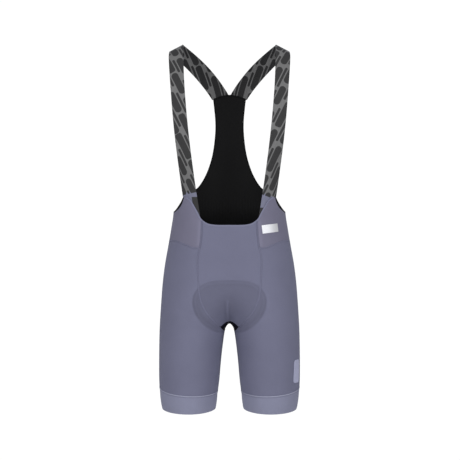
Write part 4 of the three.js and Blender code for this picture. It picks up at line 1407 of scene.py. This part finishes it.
@dataclass
class Wings(Dresser):
    """The two upper side fronts, which the straps leave from."""

    shorts: Shorts
    rows: int = 26

    def wing(self) -> Cloth:
        """The wing on the wearer's left."""
        lines, form = self.shorts.lines, self.shorts.form
        t = np.linspace(0, 1, self.rows + 1)
        inner = Places.chain(
            lines.front_seam(mix(lines.wing_corner_z, lines.scoop_corner_z, t)),
            lines.edge(WING_SCOOP_ROWS, t[1:], Side.FRONT),
        )
        outer = Places.chain(
            lines.side_seam(lines.waist_z, lines.side_top_z, t, Side.FRONT),
            lines.edge(ARMHOLE_ROWS, t[1:], Side.FRONT),
        )
        shares = self.shorts.shares()
        places = self.shorts.warp(inner.upto(outer, shares), 0, lines.wing_seam(shares), self.rows)
        return self.shorts.cloth("wing_cloth_left", form.points(places), Side.FRONT)

    def build(self) -> None:
        """Makes both wings."""
        left = self.wing()
        for hand in Hand:
            cloth = left if hand is Hand.LEFT else left.mirrored("wing_cloth_right")
            piece = self.piece(cloth.build(FINISHES.wing.material()), FINISHES.wing, f"wing_{hand.word}")
            self.cut(piece, (118, 120), 0.0112, [f"leg_{hand.word}", "front_centre"])


@dataclass
class BackPanel(Dresser):
    """The black back panel: ribbed low down, fine mesh above."""

    form: BodyForm
    lines: SeamLines
    wall: float = 1.2 * MM
    half_columns: int = 100
    rib_pitch: float = 7.2 * MM
    rib_height: float = 0.55 * MM
    rib_top_z: float = -370 * MM

    def rows(self) -> tuple[Places, Array]:
        """The side edge's places, and the level of each row's middle."""
        t = np.linspace(0, 1, 27)
        low = self.lines.side_seam(self.lines.waist_z, self.lines.side_top_z, t, Side.BACK)
        u = np.linspace(0, 1, 85)[1:]
        high = self.lines.edge(BACK_EDGE_ROWS, u, Side.BACK)
        middle = path_through([(row[0], row[2]) for row in BACK_EDGE_ROWS], u)[:, 1]
        return Places.chain(low, high), np.concatenate([low.z, middle])

    def panel(self) -> Cloth:
        """The whole panel."""
        edge, middle = self.rows()
        across = np.linspace(0, 1, self.half_columns + 1)
        z = mix(middle[:, None], edge.z[:, None], across[None] ** 2)
        length = self.form.length(z, Side.BACK)
        from_side = mix(length, edge.from_side[:, None], across[None])
        grid = self.form.points(Places(Side.BACK, from_side, z))
        inward = length - from_side
        grid = np.concatenate([(grid * [-1, 1, 1])[:, :0:-1], grid], axis=1)
        inward = np.concatenate([inward[:, :0:-1], inward], axis=1)
        ribbed = 1 - ease(self.rib_top_z - 25 * MM, self.rib_top_z + 25 * MM, grid[..., 2])
        wave = 0.5 + 0.5 * np.cos(inward / self.rib_pitch * TAU)
        normals = self.form.outward(grid)
        height = self.rib_height * ribbed * wave
        # Painted light and shade on the ribs: the mesh is lighter along each rib's crest and darker between the ribs.
        tone = 1 + 0.35 * ribbed * (wave - 0.5)
        return Cloth("back_cloth", grid + normals * height[..., None], normals, self.wall, tone)

    def build(self) -> None:
        piece = self.piece(self.panel().build(FINISHES.mesh.material()), FINISHES.mesh, "back_panel")
        self.cut(piece, (345, 372), 0.0585, ["seat_left", "seat_right"])


@dataclass
class Straps(Dresser):
    """Two flat printed elastics, folded over the shoulders."""

    form: BodyForm
    width: float = 37.6 * MM
    chest_width: float = 34 * MM
    back_width: float = 42 * MM
    narrows: tuple[float, float] = (20 * MM, 150 * MM)
    widens: tuple[float, float] = (5 * MM, 140 * MM)
    top: tuple[float, float, float] = (130.4 * MM, 4 * MM, -6.8 * MM)
    fold: float = math.radians(27.5)
    foot_z: float = -440 * MM
    front_settles: tuple[float, float] = (-200 * MM, -360 * MM)
    back_settles: tuple[float, float] = (-40 * MM, -100 * MM)
    over_shoulder: float = 40 * MM
    lean: float = 0.0556
    curve: float = 0.186
    back_ease: float = 1.55
    cloth_wall: float = 1.5 * MM
    clear: float = 0.6 * MM
    wall: float = 1.4 * MM
    steps: int = 300
    lines_across: int = 14

    def __post_init__(self) -> None:
        """Measures the line over the shoulder."""
        line = path_through(SHOULDER_ROWS, np.linspace(0, 1, 4001))
        length = np.concatenate([[0], np.cumsum(np.linalg.norm(np.diff(line, axis=0), axis=1))])
        self.shoulder, self.length = line, length
        self.crest = float(length[np.argmax(line[:, 1])])

    def shoulder_at(self, around: Array) -> tuple[Array, Array]:
        """Forward distance and height on the shoulder line, by length from its crest."""
        at = np.clip(self.crest + around, 0, self.length[-1])
        return np.interp(at, self.length, self.shoulder[:, 0]), np.interp(at, self.length, self.shoulder[:, 1])

    def slant(self, around: Array) -> Array:
        """How far the strap lies in towards the middle."""
        low = np.maximum(-around - self.over_shoulder, 0)
        inward = self.lean * low + self.curve * low * low
        up = self.shoulder_at(around)[1]
        eased = np.where(around > 0, self.back_ease * up * up, 0)
        return inward - np.sign(around) * up * math.tan(self.fold) - eased

    def half_width(self, around: Array) -> Array:
        """Half of the strap's width, which the pull on the chest narrows."""
        chest = ease(*self.narrows, -around) * (self.chest_width - self.width)
        back = ease(*self.widens, around) * (self.back_width - self.width)
        return (self.width + chest + back) / 2

    def point(self, around: Array, share: Array) -> Array:
        """Points of the strap, by length round the shoulder and place across it.

        Args:
            around: length from the fold, front negative.
            share: place across, from -1 at the outer edge to 1 at the inner one.

        Returns:
            Points for +X.
        """
        across = share * self.half_width(around)
        slope = (self.slant(around + MM) - self.slant(around - MM)) / (2 * MM)
        size = np.hypot(1, slope)
        y, up = self.shoulder_at(around - across * slope / size)
        inward = self.slant(around) + across / size
        c, s = math.cos(self.fold), math.sin(self.fold)
        x = self.top[0] + s * up - c * inward
        z = self.top[2] + c * up + s * inward
        y = self.top[1] + y
        result = np.zeros(np.shape(x))
        for side, (start, end) in ((Side.FRONT, self.front_settles), (Side.BACK, self.back_settles)):
            skin = self.form.surface(x, z, side)
            under = 0
            if side is Side.FRONT:
                under = (self.cloth_wall + self.clear) / np.maximum(-self.form.outward(skin)[..., 1], 0.3)
            settled = mix(y, skin[..., 1] + under, ease(-start, -end, -z))
            here = y < self.form.mid_y if side is Side.FRONT else y >= self.form.mid_y
            result = np.where(here, settled, result)
        return np.stack([x, result, z], axis=-1)

    def end(self, across: Array, height: Callable[[Array], Array], start: float, stop: float) -> Array:
        """Length round the shoulder at which each line reaches a height."""
        low, high = np.full(len(across), start), np.full(len(across), stop)
        for _ in range(40):
            middle = (low + high) / 2
            points = self.point(middle, across)
            above = points[:, 2] > height(points)
            low, high = np.where(above, middle, low), np.where(above, high, middle)
        return (low + high) / 2

    def strap(self) -> Cloth:
        """The strap on the wearer's left, from its foot behind the wing to the back panel."""
        across = np.linspace(-1, 0.992, self.lines_across + 1)
        corner_x, corner_z, middle_z = (value * MM for value in BACK_EDGE_ROWS[-1])

        def back_top(points: Array) -> Array:
            return mix(middle_z, corner_z, (points[:, 0] / corner_x) ** 2) + self.clear

        start = self.end(across, lambda points: np.full(len(points), self.foot_z), 0, self.over_shoulder - self.crest)
        stop = self.end(across, back_top, self.over_shoulder, self.length[-1] - self.crest - self.over_shoulder)
        around = mix(start[None], stop[None], np.linspace(0, 1, self.steps + 1)[:, None])
        wide = np.broadcast_to(across, around.shape)
        grid = self.point(around, wide)
        along = self.point(around + PROBE, wide) - self.point(around - PROBE, wide)
        sideways = self.point(around, wide - 0.02) - self.point(around, wide + 0.02)
        return Cloth("strap_cloth_left", grid, unit(np.cross(sideways, along)), self.wall)

    def build(self) -> None:
        """Makes both straps."""
        left = self.strap()
        # The inner face gets the darker copy of the elastic, painted shade.
        inner = FINISHES.strap_inside.material()
        for hand in Hand:
            cloth = left if hand is Hand.LEFT else left.mirrored("strap_cloth_right")
            finish = FINISHES.strap_left if hand is Hand.LEFT else FINISHES.strap
            piece = self.piece(cloth.build(finish.material(), inner), finish, f"strap_{hand.word}")
            self.cut(piece, (37, 660), 0.0244, [f"wing_{hand.word}", "back_panel"])


@dataclass
class SeatPad(Dresser):
    """The pad inside the crotch, thick in the middle and thin at its rim."""

    form: BodyForm
    clear: float = 5.3 * MM
    edge: float = 2 * MM
    crown: float = 5 * MM

    def build(self) -> None:
        v = np.linspace(0, 1, 65)
        along = mix(PAD_ROWS[0][0] * MM, PAD_ROWS[-1][0] * MM, (1 - np.cos(math.pi * v)) / 2)
        half = Profile(PAD_ROWS)(along)
        across = np.linspace(-1, 1, 49)
        grid = self.form.over_middle(along, half, across)
        normals = self.form.outward(grid)
        rise = np.maximum(1 - (2 * v - 1) ** 6, 0)[:, None] * np.maximum(1 - across**4, 0)[None]
        channel = np.exp(-((np.abs(across)[None] * half[:, None] - 24 * MM) / (3 * MM)) ** 2)
        thick = self.edge + self.crown * rise * (1 - 0.45 * channel)
        outer = grid - normals * self.clear
        cloth = PadCloth("seat_pad_foam", outer, normals, self.edge)
        cloth.thick = thick
        piece = self.piece(cloth.build(FINISHES.pad.material()), FINISHES.pad, "seat_pad")


class PadCloth(Cloth):
    """Cloth whose wall changes from place to place."""

    thick: Array

    def build(self, outer: bpy.types.Material, inner: bpy.types.Material | None = None) -> bpy.types.Object:
        """Makes the piece with its own thickness at each point."""
        unit_normals, self.wall = self.normals, 1.0
        self.normals = unit_normals * self.thick[..., None]
        return super().build(outer, inner)


@dataclass
class Trims(Dresser):
    """The satin tab and the slim bar, both on the wearer's left."""

    form: BodyForm
    lift: float = 0.3 * MM

    def laid(self, name: str, x: Array, z: Array, wall: float, finish: Finish, node: str) -> bpy.types.Object:
        """A thin piece that lies on the front of the body."""
        grid = self.form.surface(x, z, Side.FRONT)
        normals = self.form.outward(grid)
        # Painted reflection: the tab grows darker towards one end, a painted sheen across the satin.
        painted_sheen = 1 - 0.36 * ease(0.3, 1, np.linspace(0, 1, x.shape[1]))
        tone = np.broadcast_to(painted_sheen, x.shape)
        cloth = Cloth(name, grid + normals * (self.lift + wall), normals, wall, tone)
        return self.piece(cloth.build(finish.material()), finish, node)

    def build(self) -> None:
        """Makes both."""
        a, b = np.meshgrid(np.linspace(-19, 19, 25) * MM, np.linspace(-10, 10, 13) * MM)
        turn = math.radians(7)
        x = 96.5 * MM + a * math.cos(turn) - b * math.sin(turn)
        z = -449.5 * MM + a * math.sin(turn) + b * math.cos(turn)
        tab = self.laid("satin_label", x, z, 0.8 * MM, FINISHES.satin, "wing_tab")
        self.cut(tab, (46, 20), 0.00092, ["wing_left"], Hold.LAID)
        ends = self.form.places(np.array([154.8, 168.2]) * MM, np.full(2, -795 * MM), Side.FRONT).from_side
        v = np.linspace(-1, 1, 41)
        into_end = np.maximum((np.abs(v) - 1) / 0.25 + 1, 0)
        narrow = np.sqrt(1 - 0.6 * into_end**2)[:, None]
        h = np.linspace(-0.5, 0.5, 13)[None]
        from_side = mix(ends[0], ends[1], 0.5 + h * narrow)
        level = np.broadcast_to((-795 * MM + v * 28 * MM)[:, None], from_side.shape)
        grid = self.form.points(Places(Side.FRONT, from_side, level))
        normals = self.form.outward(grid)
        cloth = Cloth("leg_print", grid + normals * (self.lift + 0.7 * MM), normals, 0.7 * MM)
        bar = self.piece(cloth.build(FINISHES.print.material()), FINISHES.print, "leg_bar")
        self.cut(bar, (32, 56), 0.0017, ["leg_left"], Hold.LAID)


@dataclass
class Sewing(Dresser):
    """Flat seams with their zigzag thread, and the bindings of the free edges."""

    shorts: Shorts
    back: BackPanel
    seam_width: float = 5 * MM
    seam_height: float = 0.75 * MM
    pitch: float = 2.8 * MM
    thread: float = 0.28 * MM

    def seam_section(self, width: float, height: float) -> Array:
        """A low dome with its foot sunk in the cloth."""
        turn = np.linspace(0, math.pi, 9)
        dome = np.stack([np.cos(turn) * width / 2, np.sin(turn) ** 0.7 * height], axis=-1)
        foot = np.array([[-width / 2, -0.5 * MM], [width / 2, -0.5 * MM]])
        return np.concatenate([dome, foot])

    def oval(self, across: float, up: float, sides: int = 12) -> Array:
        """An oval section."""
        turn = np.linspace(0, TAU, sides, endpoint=False)
        return np.stack([np.cos(turn) * across / 2, np.sin(turn) * up / 2], axis=-1)

    def on_relief(self, points: Array, side: Side) -> Array:
        """Points raised onto the panels' relief."""
        height, _ = self.shorts.relief.at(points, side)
        return points + self.shorts.form.outward(points) * height[..., None]

    def flat_seam(self, name: str, points: Array, finish: Finish, thread: Finish, closed: bool = False, width: float = 1.0) -> None:
        """One seam: its ridge, and the thread that zigzags over it.

        Args:
            name: the seam's name.
            points: its path on the cloth.
            finish: the ridge's finish.
            thread: the thread's finish.
            closed: whether it runs round a leg.
            width: its width as a share of the usual one.
        """
        path = even(points, 4 * MM, closed)
        up = self.shorts.form.outward(path)
        section = self.seam_section(self.seam_width * width, self.seam_height)
        self.piece(sweep(f"seam_{name}", path, up, section, finish.material(), closed), finish)
        fine = even(points, self.pitch / 4, closed)
        up = self.shorts.form.outward(fine)
        tangent = unit(np.gradient(fine, axis=0))
        across = unit(np.cross(tangent, up))
        phase = np.arange(len(fine)) % 4
        swing = np.array([0, 1, 0, -1])[phase][:, None] * self.seam_width * width * 0.36
        lift = np.array([0.86, 0.62, 0.86, 0.62])[phase][:, None] * self.seam_height
        centre = fine + across * swing + up * (lift + self.thread * 0.3)
        self.piece(
            sweep(f"thread_{name}", centre, up, self.oval(self.thread * 2, self.thread * 2, 5), thread.material()),
            thread,
        )

    def binding(
        self, name: str, points: Array, finish: Finish, across: float, up: float, sink: float, inset: float = 0.0
    ) -> bpy.types.Object:
        """A narrow tape folded over a free edge.

        Args:
            name: the edge's name.
            points: the edge.
            finish: the tape's finish.
            across: the tape's width on the cloth.
            up: its thickness.
            sink: how deep its middle lies under the cloth's outer face.
            inset: how far its middle lies in from the edge, to the right of the path's way.

        Returns:
            The new object.
        """
        path = even(points, 3 * MM)
        normal = self.shorts.form.outward(path)
        inward = unit(np.cross(np.gradient(path, axis=0), normal))
        centre = path - normal * sink + inward * inset
        piece = sweep(f"binding_{name}", centre, normal, self.oval(across, up), finish.material())
        return self.piece(piece, finish)

    def both(self, make: Callable[[str, Array], object], name: str, points: Array) -> None:
        """Makes a line of sewing on both hands."""
        for hand in Hand:
            make(f"{name}_{hand.word}", points * [hand.value, 1, 1])

    def build(self) -> None:
        """Makes every seam and binding."""
        form, lines = self.shorts.form, self.shorts.lines
        t = np.linspace(0, 1, 61)
        knit, thread = FINISHES.seam, FINISHES.thread

        def seam(name: str, points: Array) -> None:
            self.flat_seam(name, points, knit, thread)

        def faint_seam(name: str, points: Array) -> None:
            self.flat_seam(name, points, FINISHES.faint_seam, thread, width=0.8)

        for make, name, low, high in (
            (faint_seam, "front", lines.corner[2], lines.wing_corner_z),
            (seam, "wing", lines.wing_corner_z, lines.scoop_corner_z),
        ):
            self.both(make, name, self.on_relief(form.points(lines.front_seam(mix(low, high, t))), Side.FRONT))
        self.both(faint_seam, "under_wing", form.points(lines.wing_seam(t)))
        self.both(seam, "side", form.points(lines.side_seam(lines.band_side_z, lines.side_top_z, t, Side.FRONT)))
        self.both(seam, "inseam", form.points(lines.inseam(t, Side.FRONT)))
        tip = form.middle_points(np.array([GUSSET_ROWS[2][0] * MM]))[0, 2]
        self.flat_seam(
            "seat_middle",
            self.on_relief(form.surface(0 * t, mix(tip, lines.waist_z, t), Side.BACK), Side.BACK),
            knit,
            thread,
        )
        waist = np.concatenate([-form.length(np.full(1, lines.waist_z), Side.BACK), [0]])
        girth = np.linspace(0, 1, 121)
        row = form.points(Places(Side.BACK, girth * -waist[0], np.full(121, lines.waist_z)))
        whole = np.concatenate([row, (row * [-1, 1, 1])[-2::-1]])
        self.flat_seam("waist", whole, FINISHES.black_binding, FINISHES.dark_thread)
        for side in Side:
            edge = self.shorts.lines.gusset_edge(side, np.linspace(0, 2, 41))
            loop = np.concatenate([edge, (edge * [-1, 1, 1])[-2::-1]])
            self.flat_seam(f"gusset_{side.name.lower()}", loop, FINISHES.gusset, FINISHES.dark_thread, width=0.5)
        def ring_seam(name: str, points: Array) -> None:
            self.flat_seam(name, points, FINISHES.band, thread, closed=True)

        def bright_line(name: str, points: Array) -> None:
            up = form.outward(points)
            path = points + up * 0.8 * MM
            thin = self.oval(2.1 * MM, 0.9 * MM, 8)
            self.piece(sweep(f"line_{name}", path, up, thin, FINISHES.bright_thread.material(), True), FINISHES.bright_thread)

        def lowered(drop: float) -> Array:
            places = [lines.band_top(t, Side.FRONT), lines.band_top(t[-2:0:-1], Side.BACK)]
            return np.concatenate([form.points(Places(part.side, part.from_side, part.z - drop)) for part in places])

        self.both(ring_seam, "band", lowered(0.8 * MM))
        self.both(bright_line, "band", even(lowered(-0.9 * MM), 3 * MM, True))
        self.bindings()

    def bindings(self) -> None:
        """The scoop's tape, the black tape round the armholes, and the seam under the straps' ends."""
        form, lines = self.shorts.form, self.shorts.lines
        x = np.linspace(0, 65.5, 40) * MM
        scoop = form.surface(x, self.shorts.scoop_z(x), Side.FRONT)
        wing = form.points(lines.edge(WING_SCOOP_ROWS, np.linspace(0, 1, 30), Side.FRONT))
        half = np.concatenate([scoop, wing[1:]])
        whole = np.concatenate([(half * [-1, 1, 1])[:0:-1], half])
        self.binding("scoop", whole, FINISHES.binding, 4.2 * MM, 2.5 * MM, 0.7 * MM)
        front = form.points(lines.edge(ARMHOLE_ROWS, np.linspace(1, 0, 30), Side.FRONT))
        back = form.points(lines.edge(BACK_EDGE_ROWS, np.linspace(0, 1, 90), Side.BACK))
        arm = np.concatenate([front, back[1:]])

        def tape(name: str, points: Array) -> None:
            inset = 1.7 * MM if points[0, 0] > 0 else -1.7 * MM
            self.binding(name, points, FINISHES.black_binding, 4.2 * MM, 2.4 * MM, 0.7 * MM, inset)

        self.both(tape, "armhole", arm)
        corner_x, corner_z, middle_z = (value * MM for value in BACK_EDGE_ROWS[-1])
        x = np.linspace(-corner_x, corner_x, 41)
        arch = form.surface(x, mix(middle_z, corner_z, (x / corner_x) ** 2), Side.BACK)
        self.binding("strap_join", arch, FINISHES.black_binding, 5 * MM, 3.2 * MM, 0.6 * MM)


@dataclass
class Studio:
    """Plain floor, soft lights and the camera of the photograph."""

    distance: float = 3.4
    camera_z: float = -0.453
    camera_x: float = 0.0012
    lens: float = 108.6
    floor_z: float = -1.45

    def camera(self) -> None:
        """Places the camera in front, level with the middle of the garment."""
        data = bpy.data.cameras.new("camera")
        data.lens, data.sensor_width = self.lens, 36
        camera = bpy.data.objects.new("camera", data)
        camera.location = (self.camera_x, -self.distance, self.camera_z)
        camera.rotation_euler = (math.pi / 2, 0, 0)
        bpy.context.scene.collection.objects.link(camera)
        bpy.context.scene.camera = camera

    def light(self, name: str, place: tuple[float, float, float], size: tuple[float, float], power: float) -> None:
        """A soft light that faces the garment's middle."""
        data = bpy.data.lights.new(name, "AREA")
        data.shape, data.size, data.size_y, data.energy = "RECTANGLE", size[0], size[1], power
        lamp = bpy.data.objects.new(name, data)
        lamp.location = place
        aim = np.array([0, 0, -0.5]) - np.array(place)
        lamp.rotation_euler = (
            math.atan2(math.hypot(aim[0], aim[1]), -aim[2]),
            0,
            math.atan2(-aim[0], aim[1]) if aim[1] or aim[0] else 0,
        )
        bpy.context.scene.collection.objects.link(lamp)

    def world(self) -> None:
        """A white surround, brighter to the camera than to the cloth."""
        world = bpy.data.worlds.new("surround")
        world.use_nodes = True
        pad = NodePad(world.node_tree)
        background = world.node_tree.nodes["Background"]
        background.inputs["Color"].default_value = (1, 1, 1, 1)
        seen = pad.node("ShaderNodeLightPath").outputs["Is Camera Ray"]
        pad.feed(background.inputs["Strength"], pad.math("ADD", 0.34, pad.math("MULTIPLY", seen, 0.70)))
        bpy.context.scene.world = world

    def floor(self) -> None:
        """A plain pale floor under the wearer's feet."""
        bpy.ops.object.select_all(action="DESELECT")
        bpy.ops.mesh.primitive_plane_add(size=3.2, location=(0, 0, self.floor_z))
        floor = bpy.context.active_object
        floor.name = "floor"
        bpy.ops.object.transform_apply(location=True, rotation=True, scale=True)
        material = bpy.data.materials.new("pale floor")
        material.use_nodes = True
        pad = NodePad(material.node_tree)
        tone = MOTTLE.place(pad, Patches=3.0, Grain=60.0).outputs["Tone"]
        shader = material.node_tree.nodes["Principled BSDF"]
        pad.feed(shader.inputs["Base Color"], pad.blend(tone, (0.84, 0.84, 0.84, 1), (0.88, 0.88, 0.88, 1)))
        shader.inputs["Roughness"].default_value = 0.9
        floor.data.materials.append(material)
        floor.select_set(False)

    def build(self) -> None:
        """Sets up the whole studio."""
        scene = bpy.context.scene
        scene.view_settings.view_transform = "Standard"
        scene.view_settings.look = "None"
        self.camera()
        self.world()
        self.floor()
        self.light("key", (-1.95, -2.2, 0.05), (1.3, 1.3), 25)
        self.light("fill", (1.95, -2.2, 0.0), (1.3, 1.6), 26)
        self.light("top", (0.0, -2.1, 0.9), (1.3, 1.0), 13)
        self.light("behind", (0.0, 2.4, 0.9), (2.2, 1.4), 24)


# The first four creases carry a tone: painted highlights along the ridges, the centre one and the one beside the wing's
# front seam, and painted shade along the troughs.
CREASES = (
    Crease(Side.FRONT, ((-5, -624), (-5, -650), (-5, -671)), 1.5, 5, 0.16, both=False),
    Crease(Side.FRONT, ((-10, -626), (-10, -650), (-10, -668)), -0.8, 5, -0.05, both=False),
    Crease(Side.FRONT, ((0.5, -628), (0.5, -650), (0.5, -668)), -0.6, 4, -0.03, both=False),
    Crease(Side.FRONT, ((70.5, -436), (71.5, -465), (74, -488)), 0.6, 11, 0.15, both=False),
    Crease(Side.FRONT, ((24, -688), (52, -672), (88, -654), (120, -640)), -0.9, 16),
    Crease(Side.FRONT, ((26, -700), (60, -693), (95, -684)), -0.6, 12),
    Crease(Side.BACK, ((20, -700), (60, -712), (110, -708), (140, -694)), -1.8, 20),
    Crease(Side.BACK, ((24, -722), (66, -733), (104, -730)), -1.0, 14),
    Crease(Side.BACK, ((6, -520), (40, -528), (86, -522)), -0.5, 16),
)


def main() -> None:
    """Builds the garment and the studio in order."""
    logging.basicConfig(level=logging.INFO, format="%(name)s: %(message)s")
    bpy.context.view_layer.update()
    Studio().build()
    form = BodyForm()
    lines = SeamLines(form)
    shorts = Shorts(form, lines, Relief(form, creases=CREASES))
    back = BackPanel(form, lines)
    for part in (
        shorts,
        Wings(shorts),
        back,
        Straps(form),
        SeatPad(form),
        Trims(form),
        Sewing(shorts, back),
    ):
        LOG.info("building %s", type(part).__name__)
        part.build()


if __name__ == "__main__":
    main()
